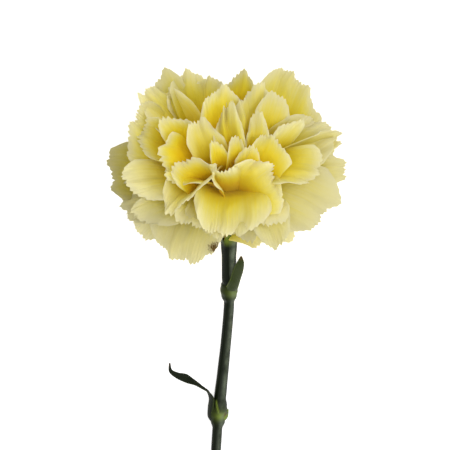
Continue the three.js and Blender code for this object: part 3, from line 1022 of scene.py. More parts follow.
        thin = 1.0 - graph.attribute("along") ** self.thin_power * self.thin_lip
        inputs = {"Mesh": laid, "Offset Scale": graph.number("Thickness") * thin, "Individual": False}
        front = graph.node("GeometryNodeExtrudeMesh", inputs, mode="FACES").outputs["Mesh"]
        back = graph.node("GeometryNodeFlipFaces", {"Mesh": laid}).outputs[0]
        both = graph.node("GeometryNodeJoinGeometry")
        for side in (back, front):
            graph.feed(both.inputs[0], side)
        inputs = {"Geometry": both.outputs[0], "Distance": self.weld * MM}
        graph.close(graph.node("GeometryNodeMergeByDistance", inputs).outputs[0], material)
        return graph

    def cut(self, name: str, petals: list[Petal], material: bpy.types.Material) -> bpy.types.Object:
        """Makes one piece of several petals.

        Args:
            name: the piece's name.
            petals: its petals.
            material: their finish.

        Returns:
            The finished piece.
        """
        points, faces, stores, number = [], [], [], 0
        for petal in petals:
            sheet, quads, attributes = petal.sheet()
            points.append(sheet)
            faces.append(quads + number)
            stores.append(attributes)
            number += len(sheet)
        joined = {key: np.concatenate([store[key] for store in stores]) for key in stores[0]}
        mesh = make_mesh(name + "_sheet", np.concatenate(points), np.concatenate(faces).tolist(), joined)
        lengths = {
            "Ruffle": self.ruffle,
            "Flutter": self.flutter,
            "Drift": self.drift_size,
            "Crumple": self.crumple,
            "Curl": self.curl,
            "Tooth Depth": self.tooth_depth,
            "Vein Relief": self.vein_relief,
            "Thickness": self.thickness,
            "Floor": self.pressed,
        }
        values = {key: length * MM for key, length in lengths.items()}
        values |= {"Teeth Per Wave": self.teeth_per_wave, "Material": material}
        return self.tree.run(link_object(mesh.name, mesh), name, values)


@dataclass
class Bloom:
    """The open bloom: petals in named groups round a core of folded claws."""

    # Each row: left, middle and right of the lip, then the lead, as x, y and the share of the
    # bloom's round form, about the bloom's centre.
    groups: dict[str, tuple[tuple[Place, ...], ...]] = field(
        default_factory=lambda: {
            "back_row": (
                ((-27, 24.5, 1), (-22.5, 30, 1), (-16.5, 31.5, 1), (-17, 22, 0.89)),
                ((-18.5, 28.5, 1.01), (-9, 32, 1), (0.5, 28.5, 1), (-9, 14, 0.86)),
                ((-9.5, 18.5, 1.01), (-4, 24, 1.01), (5, 25.5, 0.99), (-2, 9, 0.92)),
                ((-4, 25.5, 0.94), (4, 30.8, 1.05), (11, 25, 0.94), (4, 14, 0.8)),
                ((9.5, 27.5, 1), (23.5, 31.3, 1), (35, 15.5, 1), (16, 11, 0.86)),
                ((11, 21.5, 1.01), (16.5, 22.5, 1.01), (22.5, 20, 1.01), (14.5, 8, 0.93)),
                ((3.5, 14, 1), (6.5, 23, 1), (14.5, 27, 1), (9.5, 10, 0.93)),
            ),
            "left_side": (
                ((-29, 17.5, 1), (-26.5, 25.5, 1), (-17, 28, 1), (-15, 14, 0.88)),
                ((-34.5, 2, 1), (-31, 13.5, 1), (-25.5, 23.5, 1), (-22, 8, 0.84)),
                ((-28.3, 3, 1.02), (-29.5, 11, 1.02), (-25.5, 17, 1.02), (-19, 8, 0.89)),
                ((-22.5, 12, 1.01), (-18, 15.5, 1.01), (-11, 15.5, 1), (-14.5, 5, 0.92)),
                ((-37, 7.5, 1), (-40, -1.5, 1), (-39.5, -12, 1), (-25, -1, 0.78)),
                ((-34.5, 0.8, 1.03), (-32, -7.5, 1.03), (-23, -12.8, 1.03), (-19.5, -3, 0.92)),
                ((-39, -7, 1), (-34, -15.5, 1), (-26, -21.5, 1), (-20, -9, 0.82)),
            ),
            "heart": (
                ((-20.5, 9.5, 1.022), (-21, -1.5, 1.044), (-11, -6.8, 1.059), (-10.5, 1, 1)),
                ((-17.5, -5, 1.059), (-15, 1, 1.044), (-7, 2, 1.03), (-9.5, -6, 0.96)),
                ((-13.5, 9, 1.022), (-9.5, 14, 1.022), (-2, 13, 1.015), (-5, 2, 0.98)),
                ((-4.5, 10, 1.015), (0.3, 19, 1.015), (6.5, 11.5, 1.015), (1.5, 2, 0.97)),
                ((0.5, 6, 1.044), (3.5, 9.5, 1.044), (6, 8.5, 1.044), (3, 0, 1.007)),
                ((-6, 4, 1.044), (-4, 6.5, 1.044), (0, 6, 1.044), (-1.5, -1, 1.015)),
                ((7, 13.5, 1.015), (10, 16, 1.015), (14.5, 12.5, 1.015), (10, 4, 0.97)),
                ((8.5, 8.5, 1.037), (15.5, 10, 1.044), (22.5, 3, 1.044), (11, -2, 1.015)),
                ((-5.5, 0.5, 1.059), (0.5, -1.5, 1.118), (6, 2.0, 1.089), (1.5, -7.0, 1.074)),
                ((-6.6, 1, 1.089), (-5, -2.5, 1.111), (-2.2, -6.8, 1.089), (-3.6, -5.6, 1.074)),
                ((4.5, 1.5, 1.074), (17.5, -3, 1.089), (20.5, -14.5, 1.059), (7, -8.5, 1.104)),
                ((3, 4, 1.015), (8, 6, 1.015), (12, 3, 1.015), (8, -3, 0.98)),
            ),
            "right_side": (
                ((25, 19.5, 1), (34.5, 13.8, 1), (36.5, 3, 1), (18, 3, 0.9)),
                ((31.5, 11.5, 1), (38, 9.5, 1), (38.5, 1, 1), (24, 3, 0.84)),
                ((35, 4.5, 1), (38.6, -0.5, 1), (37.5, -7, 1), (25, -2, 0.86)),
                ((33, 5.5, 1.03), (30.5, -3, 1.04), (21.5, -8.5, 1.05), (15, 0.5, 0.98)),
                ((37.5, -3, 1), (33, -16.5, 1), (25, -26, 1), (17, -6, 0.95)),
                ((15.5, 9, 1.03), (20, 14, 1.03), (26, 15, 1.02), (16.5, 1.5, 0.96)),
            ),
            "front_row": (
                ((9.8, -24.5, 1), (16, -26.8, 1), (22.5, -20.5, 1), (14, -11, 0.92)),
                ((2.8, -22.5, 0.9), (6.7, -25.3, 0.9), (10.3, -23.3, 0.9), (7, -13, 0.84)),
                ((-31.5, -16, 1), (-26.5, -24.5, 1), (-17.5, -30.5, 1), (-17, -13, 0.86)),
                ((-27, -22.5, 1), (-12.5, -30.8, 1), (1, -24.5, 1), (-10.5, -12, 0.87)),
                ((-5.5, -27, 0.8), (-3, -26.5, 0.8), (1.5, -22, 0.8), (-4, -16, 0.72)),
                ((-31, -13, 1.03), (-28.5, -18, 1.03), (-20, -22, 1.03), (-16, -11, 0.9)),
                ((-21, -7, 1.03), (-18, -16.5, 1.059), (-5, -5.5, 1.096), (-14, -4, 1)),
                ((-18.5, -16.5, 1.03), (-13, -20.5, 1.03), (-6, -18.5, 1.03), (-8, -10, 0.94)),
                ((-12, -17, 1.055), (1, -23.5, 1.075), (19, -14.5, 1.075), (3.5, -4.0, 1.17)),
                ((-14.5, -18, 1.015), (-3.7, -23.5, 1.03), (10.5, -21.5, 1.015), (-1.3, -12, 1.015)),
                ((11, -18.5, 1.03), (17, -19.5, 1.03), (22, -16, 1.03), (14, -10, 1)),
            ),
        }
    )
    standing: tuple[str, ...] = ("heart",)
    # How far a petal has turned olive, partly with age and partly as painted shade, and how far its
    # pale lip reaches, against the others, by its group and its place in the group. A share below
    # zero takes back some of the painted shade that its place towards the rim gives it.
    looks: dict[tuple[str, int], tuple[float, float]] = field(
        default_factory=lambda: {
            ("back_row", 0): (0.1, 1), ("back_row", 2): (-0.1, 0.6), ("back_row", 3): (0.2, 0.45),
            ("back_row", 4): (0, 1.25), ("back_row", 5): (0, 0.8), ("left_side", 0): (-0.3, 1.5),
            ("left_side", 1): (0.1, 1), ("left_side", 2): (0.1, 0.6), ("left_side", 3): (0, 0.5),
            ("left_side", 4): (0.7, 1), ("left_side", 5): (-0.1, 1.2), ("left_side", 6): (0.35, 1),
            ("heart", 0): (0, 0.5), ("heart", 1): (0, 0.75), ("heart", 2): (0, 1.7),
            ("heart", 8): (-0.1, 1.4), ("heart", 9): (0, 1.3), ("heart", 10): (-0.1, 1.3),
            ("right_side", 0): (0, 1.35), ("right_side", 1): (0, 1.4), ("right_side", 2): (0.1, 1.35),
            ("right_side", 4): (0.1, 1.3), ("front_row", 0): (0.15, 1), ("front_row", 1): (0.4, 0.8),
            ("front_row", 2): (0, 1), ("front_row", 3): (0, 1.2), ("front_row", 4): (0.5, 0.7),
            ("front_row", 5): (0.15, 1), ("front_row", 6): (0, 0.6), ("front_row", 7): (0, 0.65),
            ("front_row", 8): (-0.1, 0.6), ("front_row", 9): (0.3, 0.5),
        }
    )
    plain_look: Span = (0.0, 1.0)
    # Each row: the height of the lip over the calyx mouth, its turn round the axis in degrees, its
    # distance from the axis and half its width.
    guard_ring: tuple[RingRow, ...] = (
        (4.0, -166, 27, 11), (4.0, -128, 34, 14), (4.0, -90, 34, 13), (4.0, -52, 34, 14),
        (4.0, -14, 23, 9), (4.0, 27, 15, 7), (4.0, 153, 17, 9),
    )
    mouth_ring: tuple[RingRow, ...] = (
        (9.0, 62, 8, 5), (9.0, 118, 8, 5), (15.0, 38, 18, 9), (14.0, 90, 13, 9), (15.0, 142, 18, 9),
        (21.0, 64, 20, 10), (21.0, 116, 20, 10),
    )
    # The spiral of the underside fills a span of degrees, which narrows from its first value to
    # its last, from the share of the spiral that is called its narrowing.
    spiral_count: int = 23
    spiral_span: Span = (200.0, 90.0)
    spiral_narrowing: float = 0.3
    spiral_middle: float = -90.0
    spiral_step: float = 0.382
    spiral_low: float = 12.0
    spiral_high: float = 46.5
    spiral_radius: float = 33.5
    spiral_widest: float = 20.0
    spiral_top: float = 56.0
    # A number and the share of another that is added to it: half a lip's width from its distance
    # to the axis, and the height of its lead from its own height.
    spiral_half: Span = (5.0, 0.24)
    lead_height: Span = (5.0, 0.8)
    lead_radius: float = 0.62
    lip_bow: float = 0.25
    lap: float = 3.0
    core_profile: tuple[Span, ...] = (
        (-13, 0.9), (-4, 1.4), (0, 2.0), (3, 2.3), (7, 5.5), (10, 9.5), (14, 13), (19, 15),
        (26, 15), (33, 13), (39, 9), (42, 4.5), (43, 0.2),
    )
    core_depth: tuple[Span, ...] = ((-13.0, 0.3), (4.0, 0.35), (20.0, 0.9))
    core_rings: int = 60
    core_sides: int = 72
    core_pleats: int = 18
    core_pleat: float = 0.05

    def ring_petal(self, row: RingRow, stance: Stance, number: int) -> Petal:
        """A petal at a turn round the axis.

        Args:
            row: the lip's height, turn, distance from the axis and half width.
            stance: how the petal leaves the core.
            number: its number in the bloom.

        Returns:
            The petal.
        """
        height, turn, radius, half = row
        angle = math.radians(turn)
        over = np.cross(FORM.axis, FORM.round_axis(angle, 0.0, 1.0) - FORM.mouth)
        lip = []
        for side in (-1, 0, 1):
            bowed = radius - side * side * self.lip_bow * half
            lip.append(FORM.round_axis(angle, height + side * self.lap, bowed) + side * half * over)
        base, share = self.lead_height
        lead = FORM.round_axis(angle, share * height + base, self.lead_radius * radius)
        return Petal(*lip, lead, stance, number)

    def spiral_row(self, k: int) -> RingRow:
        """Where a petal of the underside lies on its spiral.

        Args:
            k: its place on the spiral.

        Returns:
            Its lip's height, turn, distance from the axis and half width.
        """
        last = self.spiral_count - 1
        span = np.interp(k, (self.spiral_narrowing * self.spiral_count, last), self.spiral_span)
        turn = self.spiral_middle + span * ((k * self.spiral_step) % 1.0 - 0.5)
        height = self.spiral_low + (self.spiral_high - self.spiral_low) * k / last
        off = (height - self.spiral_widest) / (self.spiral_top - self.spiral_widest)
        radius = self.spiral_radius * math.sqrt(1.0 - off * off)
        base, share = self.spiral_half
        return height, turn, radius, base + share * radius

    def petals(self) -> dict[str, list[Petal]]:
        """Every petal of the bloom, all numbered in one row.

        Returns:
            Group name to its petals.
        """
        number = count()
        made: dict[str, list[Petal]] = {}
        for name, rows in self.groups.items():
            stance = Stance.STANDING if name in self.standing else Stance.RISING
            made[name] = []
            for k, row in enumerate(rows):
                lip_and_lead = [FORM.on_form(place) for place in row]
                look = self.looks.get((name, k), self.plain_look)
                made[name].append(Petal(*lip_and_lead, stance, next(number), *look))
        spiral = tuple(self.spiral_row(k) for k in range(self.spiral_count))
        rings = (
            ("guard_ring", Stance.FLARING, self.guard_ring),
            ("mouth_ring", Stance.RISING, self.mouth_ring),
            ("underside", Stance.RISING, spiral),
        )
        for name, stance, rows in rings:
            made[name] = [self.ring_petal(row, stance, next(number)) for row in rows]
        return made

    def core(self, material: bpy.types.Material) -> bpy.types.Object:
        """The bundle of folded claws that the petals stand out of.

        Args:
            material: its finish.

        Returns:
            The piece.
        """
        heights, radii = np.array(self.core_profile).T
        fine = np.linspace(heights[0], heights[-1], self.core_rings)
        turn = turns(self.core_sides)
        pleat = 1.0 + self.core_pleat * np.sin(self.core_pleats * turn)
        girth = np.interp(fine, heights, radii)[:, None] * pleat
        out = np.cos(turn)[:, None] * ACROSS + np.sin(turn)[:, None] * FORM.face
        rings = FORM.mouth + fine[:, None, None] * FORM.axis + girth[..., None] * out
        depth = np.interp(fine, *np.array(self.core_depth).T)[:, None]
        return closed_skin("folded_claws", rings, {"depth": depth}, material)

    def build(self) -> list[bpy.types.Object]:
        """Makes every piece of the bloom.

        Returns:
            The pieces, which ride on the body and stand for the bloom's solid.
        """
        material = PetalFinish().make()
        cutter = PetalCutter()
        pieces = [self.core(material)]
        for name, petals in self.petals().items():
            pieces.append(cutter.cut("petals_" + name, petals, material))
        return [dress(piece, "bloom") for piece in pieces]


# ---- the green parts -------------------------------------------------------------------
def spline(stations: np.ndarray, steps: int) -> np.ndarray:
    """A smooth path through rows of numbers, centripetal in their first three.

    Args:
        stations: N rows.
        steps: how many rows to return.

    Returns:
        The rows of the path, evenly spaced in its own parameter.
    """
    rows = np.asarray(stations, float)
    padded = np.vstack([2 * rows[0] - rows[1], rows, 2 * rows[-1] - rows[-2]])
    gaps = np.sqrt(np.maximum(np.linalg.norm(np.diff(padded[:, :3], axis=0), axis=1), TINY))
    made = []
    for t in np.linspace(0, len(rows) - 1, steps):
        k = min(int(t), len(rows) - 2)
        p0, p1, p2, p3 = padded[k:k + 4]
        d0, d1, d2 = gaps[k:k + 3]
        t1 = ((p1 - p0) / d0 - (p2 - p0) / (d0 + d1) + (p2 - p1) / d1) * d1
        t2 = ((p2 - p1) / d1 - (p3 - p1) / (d1 + d2) + (p3 - p2) / d2) * d1
        x = t - k
        made.append(
            (2 * x**3 - 3 * x**2 + 1) * p1 + (x**3 - 2 * x**2 + x) * t1
            + (3 * x**2 - 2 * x**3) * p2 + (x**3 - x**2) * t2
        )
    return np.array(made)


def profile_at(profile: tuple[Span, ...], places: np.ndarray) -> np.ndarray:
    """Values of a soft-stepped profile at places along it.

    Args:
        profile: rows of a place and its value, in rising or falling order of their places.
        places: where to read it.

    Returns:
        The value at each place.
    """
    at, value = np.array(profile).T
    if at[0] > at[-1]:
        at, value, places = -at, value, -np.asarray(places)
    index = np.clip(np.searchsorted(at, places) - 1, 0, len(at) - 2)
    share = smoothstep(0.0, 1.0, (places - at[index]) / (at[index + 1] - at[index]))
    return value[index] + (value[index + 1] - value[index]) * share


@dataclass
class Calyx:
    """The green tube that holds the petals: nerved outside, with five teeth round its mouth.

    Its heights are over the calyx foot, and its turns are radians from the flower's face.
    """

    profile: tuple[Span, ...] = (
        (0, 1.75), (0.8, 2.25), (3, 2.38), (11, 2.4), (15.5, 2.65), (18.5, 3.08),
    )
    wall: float = 0.4
    tooth_wall: float = 0.5
    floor: float = 1.4
    teeth: int = 5
    tooth: float = 3.4
    tooth_power: float = 0.6
    tooth_foot: float = 15.6
    side_tooth: float = 0.7
    front_teeth: Span = (0.2, 0.9)
    nerves: int = 35
    nerve_relief: float = 0.045
    nerve_foot: Span = (0.5, 3.0)
    first_height: float = 0.05
    rows: int = 70
    sides: int = 210
    # The pale green round the mouth is partly the teeth's own colour and partly a painted highlight,
    # strongest on the front, which faces the lights, and weak behind.
    fresh_heights: Span = (16.0, 19.5)
    fresh_share: float = 0.85
    fresh_shaded_back: float = 0.25
    fresh_lit_turn: float = 0.25
    fresh_lit_front: Span = (0.5, 0.9)
    dry_heights: Span = (21.2, 21.8)
    dry_share: float = 0.8
    # Where the band of wax lies and how wide it is: a painted highlight on the side that faces the key
    # light.
    wax_highlight_turn: float = 0.6
    wax_highlight_width: float = 0.45

    def build(self) -> list[bpy.types.Object]:
        """Makes the calyx.

        Returns:
            The one piece.
        """
        turn = turns(self.sides)
        out = np.cos(turn)[:, None] * FORM.face + np.sin(turn)[:, None] * ACROSS
        point = (0.5 + 0.5 * np.cos(self.teeth * turn)) ** self.tooth_power
        point *= self.side_tooth + (1.0 - self.side_tooth) * smoothstep(*self.front_teeth, np.cos(turn))
        nerve = self.nerve_relief * np.cos(self.nerves * turn)
        upwards = np.linspace(self.first_height, FORM.calyx_length, self.rows)
        outer = np.concatenate([[0.0], upwards])
        inner = np.linspace(FORM.calyx_length, self.floor, self.rows // 2)
        height = np.concatenate([outer, inner])[:, None]
        outside = np.arange(len(height))[:, None] < len(outer)
        share = smoothstep(self.tooth_foot, FORM.calyx_length, height)
        thin = np.where(outside, 0.0, self.wall) * (1.0 - self.tooth_wall * share * point)
        ribbed = nerve * outside * (1.0 - share) * smoothstep(*self.nerve_foot, height)
        radius = profile_at(self.profile, height) - thin + ribbed
        up = height + share * self.tooth * point
        rings = FORM.calyx_foot + up[..., None] * FORM.axis + radius[..., None] * out
        # Painted highlight, partly the teeth's own paler green: full on the front, a share of it behind.
        front = smoothstep(*self.fresh_lit_front, np.cos(turn - self.fresh_lit_turn))
        front = self.fresh_shaded_back + (1.0 - self.fresh_shaded_back) * front
        stores = {
            "round": turn * self.nerves / TURN,
            # Painted highlight: the wax lies in a band on the side that faces the key light.
            "wax_and_highlight": bell(turn, self.wax_highlight_turn, self.wax_highlight_width),
            "along": up,
            "fresh": smoothstep(*self.fresh_heights, up) * self.fresh_share * front,
            "dry": smoothstep(*self.dry_heights, up) * self.dry_share,
        }
        material = GreenFinish("calyx_skin", wax_and_highlight_share=1.05).make()
        return [dress(closed_skin("calyx_tube", rings, stores, material), "calyx")]


@dataclass(frozen=True)
class Patch:
    """A soft patch on the stem, at a place along it and at a turn, or else all round it."""

    place: float
    length: float
    share: float = 1.0
    turn: float = 0.0
    width: float = math.inf

    def at(self, turn: np.ndarray, y: np.ndarray) -> np.ndarray:
        """How much of it lies at each turn and place."""
        return self.share * bell(turn, self.turn, self.width) * bell(y, self.place, self.length)


@dataclass
class Stem:
    """The jointed stem, from under the calyx through its lower node to its slanted cut.

    Its places are along Y, and its turns are radians round it from its right side.
    """

    socket: tuple[float, ...] = (1.3, -0.8, -2.9)
    below_calyx: tuple[Place, ...] = ((1, -47, 7.3), (0.3, -56, 5.7), (-0.9, -68, 4.5), (-2.1, -79, 3.8))
    below_node: tuple[Place, ...] = ((-3.2, -93, 3), (-4.2, -110, 2.3), (-5.2, -128, 1.75))
    girth: tuple[Span, ...] = (
        (-39.2, 2.3), (-40.0, 2.7), (-41.8, 2.98), (-43.8, 2.6), (-45.9, 1.74), (-60, 1.76), (-70, 1.9),
        (-78, 2.05), (-80.5, 2.6), (-83.4, 3.25), (-86.2, 2.5), (-88.6, 1.68), (-110, 1.62), (-128, 1.62),
    )
    steps: int = 340
    sides: int = 48
    ridges: int = 10
    ridge_relief: float = 0.035
    node_reach: float = 3.2
    node_waist: float = 0.12
    collar: float = 0.22
    collar_edge: float = 0.25
    collar_swing: float = 0.9
    collar_turn: float = 0.6
    cut_slant: float = 1.4
    cut_power: int = 60
    cut_shares: tuple[float, ...] = (0.04, 0.25, 0.27, 0.6, 0.85)
    cut_lip: float = 0.05
    cut_fresh: float = 0.9
    cut_dry: float = 0.5
    # The pale line down to the lower node: its places and turns, and where it fades in and out.
    seam_places: Span = (-84.3, -79.0)
    seam_turns: Span = (1.4, 2.1)
    seam_top: Span = (-78.6, -79.6)
    seam_foot: Span = (-84.8, -84.0)
    seam_width: float = 0.1
    seam_share: float = 0.7
    node_patch: Patch = Patch(FORM.lower_node[1] - 0.6, 1.2, turn=1.15, width=0.55)
    knob_patch: Patch = Patch(-43.2, 1.3, share=0.6, turn=0.95, width=0.6)
    knob_band: Patch = Patch(-42.5, 2.2, share=0.12)
    node_band: Patch = Patch(FORM.lower_node[1], 2.6, share=0.12)
    dry_spot: Patch = Patch(FORM.lower_node[1], 0.6, turn=0.75, width=0.16)
    # Where the band of wax lies and how wide it is: a painted highlight on the side that faces the key
    # light.
    wax_highlight_turn: float = 0.95
    wax_highlight_width: float = 0.45
    nerve_rate: float = 3.0

    def rings(self) -> np.ndarray:
        """The rings of the stem's skin, with those of its cut end last.

        Returns:
            Rings by points by 3.
        """
        socket = [FORM.calyx_foot + up * FORM.axis for up in self.socket]
        route = [*socket, *self.below_calyx, FORM.lower_node, *self.below_node]
        line = spline(np.array(route), self.steps)
        tangent = unit(np.gradient(line, axis=0))
        right = unit(np.cross([0.0, 0.0, 1.0], tangent))
        up = np.cross(tangent, right)
        turn = turns(self.sides)
        y, node = line[:, 1:2], FORM.lower_node[1]
        near = bell(y, node, self.node_reach)
        ridge = self.ridge_relief * np.sin(self.ridges * turn) * (1.0 - near)
        collar_at = node + self.collar_swing * np.cos(turn + self.collar_turn)
        collar = self.collar * smoothstep(-self.collar_edge, self.collar_edge, y - collar_at) * near
        girth = profile_at(self.girth, y) + ridge + collar - self.node_waist * near
        out = np.cos(turn)[:, None] * right[:, None] + np.sin(turn)[:, None] * up[:, None]
        slant = np.linspace(0, 1, self.steps)[:, None] ** self.cut_power * self.cut_slant * np.cos(turn)
        rings = line[:, None] + girth[..., None] * out + slant[..., None] * tangent[:, None]
        rim, middle = rings[-1], rings[-1].mean(axis=0)
        cut = np.array([rim + (middle - rim) * share for share in self.cut_shares])
        cut[0] += self.cut_lip * tangent[-1]
        return np.concatenate([rings, cut])

    def seam(self, turn: np.ndarray, y: np.ndarray) -> np.ndarray:
        """How much of the pale line lies at each turn and place.

        Args:
            turn: round the stem.
            y: along it.

        Returns:
            The share, from 0 to 1.
        """
        at = np.interp(y, self.seam_places, self.seam_turns)
        run = smoothstep(*self.seam_top, y) * smoothstep(*self.seam_foot, y)
        return self.seam_share * bell(turn, at, self.seam_width) * run

    def build(self) -> list[bpy.types.Object]:
        """Makes the stem.

        Returns:
            The one piece.
        """
        rings, turn = self.rings(), turns(self.sides)
        y = rings[..., 1]
        fresh = np.maximum(self.node_patch.at(turn, y), self.seam(turn, y))
        fresh = np.maximum(fresh, self.knob_patch.at(turn, y))
        fresh += self.knob_band.at(turn, y) + self.node_band.at(turn, y)
        dry = self.dry_spot.at(turn, y)
        cut = len(self.cut_shares)
        fresh[1 - cut:] = self.cut_fresh
        dry[-cut:2 - cut] += self.cut_dry
        stores = {
            "round": turn * self.nerve_rate,
            "along": -y,
            # Painted highlight: the wax lies in a band on the side that faces the key light.
            "wax_and_highlight": bell(turn, self.wax_highlight_turn, self.wax_highlight_width),
            "fresh": np.clip(fresh, 0, 1),
            "dry": np.clip(dry, 0, 1),
        }
        material = GreenFinish("stem_skin", wax_and_highlight_share=0.6, roughness=0.36).make()
        return [dress(closed_skin("stem_shoot", rings, stores, material), "stem")]


@dataclass
class Blade:
    """A narrow green leaf or bract, from its clasping foot to its tip.

    Its stations give the middle of the blade from its seat, its half width, the direction
    across it and its edges' fold.
    """

    name: str
    node: str
    slot: str
    seat: np.ndarray
    stations: tuple[Station, ...]
    dry_tip: float = 0.0
    fresh: float = 0.1
    fresh_edge: float = 0.5

    dry_share: float = 0.8
    fresh_rim: Span = (0.72, 1.0)
    # The blade's wax is even all over it.
    wax_and_highlight: float = 0.3
    thickness: float = 0.5
    thin_edge: float = 0.12
    thin_tip: float = 0.35
    taper: float = 0.35
    keel: float = 0.22
    keel_width: float = 0.16
    foot: float = 0.12
    foot_width: float = 0.3
    steps: int = 90
    columns: int = 25
    nerves: int = 7
    nerve_relief: float = 0.03
    nerve_rate: float = 1.2
    nerve_length: float = 20.0

    def rings(self, u: np.ndarray, share: np.ndarray) -> np.ndarray:
        """The rings of the blade's skin, each round its upper side and back under it.

        Args:
            u: places across the blade, from -1 to 1.
            share: places along it, from 0 to 1, one to a row.

        Returns:
            Rings by points by 3.
        """
        rows = np.array([[*at, *over, *fold, half] for at, half, over, fold in self.stations], float)
        path = spline(rows, self.steps)
        middle, over, fold = path[:, None, :3] + self.seat, unit(path[:, None, 3:6]), path[:, None, 6:9]
        widening = np.sqrt(np.clip(share / self.foot, 0, 1))
        half = path[:, 9:] * (self.foot_width + (1.0 - self.foot_width) * widening)
        flat = middle + over * (half * u)[..., None] + fold * (u * u)[:, None]
        normal = unit(np.cross(unit(np.gradient(flat, axis=1)), unit(np.gradient(flat, axis=0))))
        body = self.thin_edge + (1.0 - self.thin_edge) * np.sqrt(np.clip(1 - u * u, 0, 1))
        taper = self.thin_tip + (1.0 - self.thin_tip) * smoothstep(0.0, self.taper, 1.0 - share)
        nerve = self.nerve_relief * np.cos(self.nerves * np.pi * u)
        keel = self.keel * bell(u, 0.0, self.keel_width)
        thick = self.thickness / 2 * body * taper
        top = flat + normal * (thick + nerve * body)[..., None]
        low = flat - normal * (thick + (nerve + keel) * taper * body)[..., None]
        return np.concatenate([top, low[:, ::-1]], axis=1)

    def build(self, material: bpy.types.Material) -> bpy.types.Object:
        """Makes the leaf.

        Args:
            material: its finish.

        Returns:
            The piece.
        """
        u = np.linspace(-1, 1, self.columns)
        share = np.linspace(0, 1, self.steps)[:, None]
        rings = self.rings(u, share)
        spread = np.concatenate([u, u[::-1]])
        edge = smoothstep(*self.fresh_rim, np.abs(spread)) * self.fresh_edge
        tip = smoothstep(1.0 - self.dry_tip, 1.0, share) if self.dry_tip else np.zeros_like(share)
        stores = {
            "round": spread * self.nerves * self.nerve_rate,
            "along": share * self.nerve_length,
            "wax_and_highlight": np.array(self.wax_and_highlight),
            "fresh": np.clip(self.fresh + edge * (1 - share), 0, 1),
            "dry": tip * self.dry_share,
        }
        return dress(closed_skin(self.name, rings, stores, material), self.node)


@dataclass
class Foliage:
    """The bracts under the calyx, and the curled leaf and its partner's stub at the lower node."""

    upper_bract: tuple[Station, ...] = (
        ((0.5, -2.2, 0.9), 1.3, (1, 0, 0), (0, 0, -0.6)),
        ((0.8, -1.2, 2.6), 2.1, (1, 0, 0), (0, 0, -1.5)),
        ((1.25, -0.1, 3.6), 2.05, (1, 0, -0.1), (0, 0, -1.1)),
        ((2.0, 1.7, 5), 1.95, (1, 0, -0.4), (0, 0, -0.7)),
        ((3.1, 5.2, 6.7), 1.95, (1, 0, -0.5), (0, 0, -0.4)),
        ((3.85, 7.9, 7.75), 1.35, (1, 0, -0.5), (0, 0, -0.2)),
        ((4.1, 9.9, 8.35), 0.3, (1, 0, -0.5), (0, 0, 0)),
    )
    short_bract: tuple[Station, ...] = (
        ((0.3, -4.6, -4.4), 1.4, (-1, 0, 0), (0, 0, 0.8)),
        ((0.3, -3.6, -5.7), 2.3, (-1, 0, 0), (0, 0, 1.7)),
        ((0.1, -1.3, -5.65), 2.5, (-1, 0, 0), (0, 0, 1.7)),
        ((-0.1, 1.5, -4.5), 1.9, (-1, 0, 0), (0, 0, 0.8)),
        ((-0.3, 3.9, -3.3), 0.4, (-1, 0, 0), (0, 0, 0)),
    )
    curled_leaf: tuple[Station, ...] = (
        ((-1.9, -2.6, 0), 1.2, (0, 0, 1), (0.6, 0, 0)),
        ((-3.3, -0.6, 0), 2.4, (0, 0, 1), (1.3, 0, 0)),
        ((-3.2, 2.6, 0.3), 2.4, (0.3, 0, 1), (1.0, 0, 0)),
        ((-2.7, 5.6, 0.8), 2.0, (0.45, -0.1, 1), (0.5, 0, 0)),
        ((-3.4, 7.6, 1.3), 1.7, (0.6, -0.4, 1), (0.2, 0, 0)),
        ((-5.7, 9.5, 1.9), 1.5, (0.4, -0.8, 1), (0, 0, 0)),
        ((-8.2, 11.1, 2.1), 1.4, (0.2, -1, 0.7), (0, 0, 0.2)),
        ((-10.8, 12.3, 1.8), 1.5, (-0.1, -1, 0.1), (0, 0, 0.4)),
        ((-14.1, 13.4, 1.2), 1.0, (-0.35, -1, 0), (0, 0, 0.3)),
        ((-16.1, 14.9, 0.8), 0.65, (-0.9, -0.6, 0), (0, 0, 0.1)),
        ((-16.4, 17.5, 0.8), 0.25, (-1, -0.1, 0), (0, 0, 0)),
    )
    leaf_stub: tuple[Station, ...] = (
        ((1.6, -2.4, 0), 1.2, (0, 0, -1), (-0.5, 0, 0)),
        ((3.0, -0.6, 0), 2.0, (0, 0, -1), (-1.1, 0, 0)),
        ((3.2, 0.8, 0.2), 1.6, (0, 0, -1), (-1.0, 0, 0)),
        ((3.4, 1.9, 0.4), 0.4, (0, 0, -1), (-0.3, 0, 0)),
    )
    curled_fresh: Span = (0.0, 0.15)

    def build(self) -> list[bpy.types.Object]:
        """Makes the four blades.

        Returns:
            The pieces.
        """
        bract = GreenFinish("bract_skin", wax_and_highlight_share=0.35, green=(0.018, 0.029, 0.006)).make()
        leaf = GreenFinish("leaf_skin", wax_and_highlight_share=0.15, roughness=0.5).make()
        under_calyx = ("calyx_green", FORM.calyx_foot)
        at_node = ("leaf_green", np.array(FORM.lower_node))
        upper = Blade("bract_upper", "upper_bract", *under_calyx, self.upper_bract, dry_tip=0.16)
        short = Blade("bract_short", "short_bract", *under_calyx, self.short_bract, dry_tip=0.1)
        curled = Blade("leaf_curled", "curled_leaf", *at_node, self.curled_leaf, dry_tip=0.06)
        curled.fresh, curled.fresh_edge = self.curled_fresh
        stub = Blade("leaf_stub_sheath", "leaf_stub", *at_node, self.leaf_stub, fresh=0.75)
        blades = ((upper, bract), (short, bract), (curled, leaf), (stub, leaf))
        return [blade.build(material) for blade, material in blades]


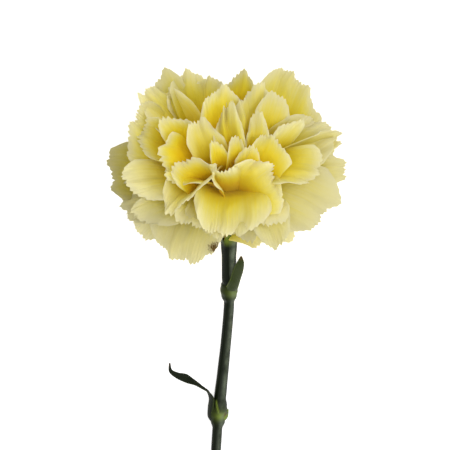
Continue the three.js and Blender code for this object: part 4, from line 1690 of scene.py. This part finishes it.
# ---- the studio ------------------------------------------------------------------------
@dataclass(frozen=True)
class Lamp:
    """A square soft light: its place in metres from the bloom's centre, its side and its watts."""

    name: str
    place: Place
    size: float
    power: float

    def make(self) -> bpy.types.Object:
        """Makes the light, which faces the bloom.

        Returns:
            The light.
        """
        data = bpy.data.lights.new(self.name, "AREA")
        data.size = self.size
        data.energy = self.power
        made = link_object(self.name, data)
        made.location = tuple(FORM.to_frame(FORM.centre) + np.array(self.place))
        made.rotation_mode = "QUATERNION"
        made.rotation_quaternion = Vector(self.place).to_track_quat("Z", "Y")
        return made


@dataclass
class Studio:
    """The floor, the lights and the camera."""

    lamps: tuple[Lamp, ...] = (
        Lamp("key", (0.52, 0.02, 0.78), 0.4, 2.2),
        Lamp("fill", (0.05, -0.02, 0.95), 0.5, 3.0),
    )
    white: tuple[float, float, float, float] = (1.0, 1.0, 1.0, 1.0)
    sky: float = 0.62
    floor_reach: float = 3.0
    floor_colour: tuple[float, float, float, float] = (0.9, 0.9, 0.9, 1.0)
    floor_roughness: float = 0.9
    floor_glow: float = 0.6
    frame_width: float = 150.0
    frame_middle: Span = (-0.33, -20.0)
    camera_distance: float = 2.5
    sensor: float = 36.0

    def floor(self) -> bpy.types.Object:
        """A wide, plain, pale floor.

        Returns:
            The floor.
        """
        far = self.floor_reach
        corners = [(-far, -far, 0), (far, -far, 0), (far, far, 0), (-far, far, 0)]
        mesh = bpy.data.meshes.new("floor")
        mesh.from_pydata(corners, [], [(0, 1, 2, 3)])
        values = {
            "Base Color": self.floor_colour,
            "Roughness": self.floor_roughness,
            "Emission Color": self.white,
            "Emission Strength": self.floor_glow,
        }
        mesh.materials.append(Finish("floor", values).material)
        made = link_object("floor", mesh)
        return made

    def build(self) -> None:
        """Makes the whole studio."""
        scene = bpy.context.scene
        self.floor()
        for lamp in self.lamps:
            lamp.make()
        world = bpy.data.worlds.new("studio")
        world.use_nodes = True
        sky = world.node_tree.nodes["Background"].inputs
        sky["Color"].default_value = self.white
        sky["Strength"].default_value = self.sky
        scene.world = world
        scene.view_settings.view_transform = "Standard"
        data = bpy.data.cameras.new("camera")
        data.sensor_width = self.sensor
        data.lens = self.sensor * self.camera_distance / (self.frame_width * MM)
        scene.camera = link_object("camera", data)
        middle = FORM.to_frame(np.array([*self.frame_middle, FORM.height]))
        scene.camera.location = (middle[0], middle[1], middle[2] + self.camera_distance)


def main() -> None:
    """Builds the flower and the studio, and reports each piece."""
    logging.basicConfig(level=logging.INFO, format="%(name)s: %(message)s")
    pieces = []
    for part in (Bloom(), Calyx(), Stem(), Foliage()):
        pieces += part.build()
    Studio().build()
    for piece in pieces:
        piece.data.calc_loop_triangles()
        LOG.info("%s: %d triangles", piece.name, len(piece.data.loop_triangles))


if __name__ == "__main__":
    main()
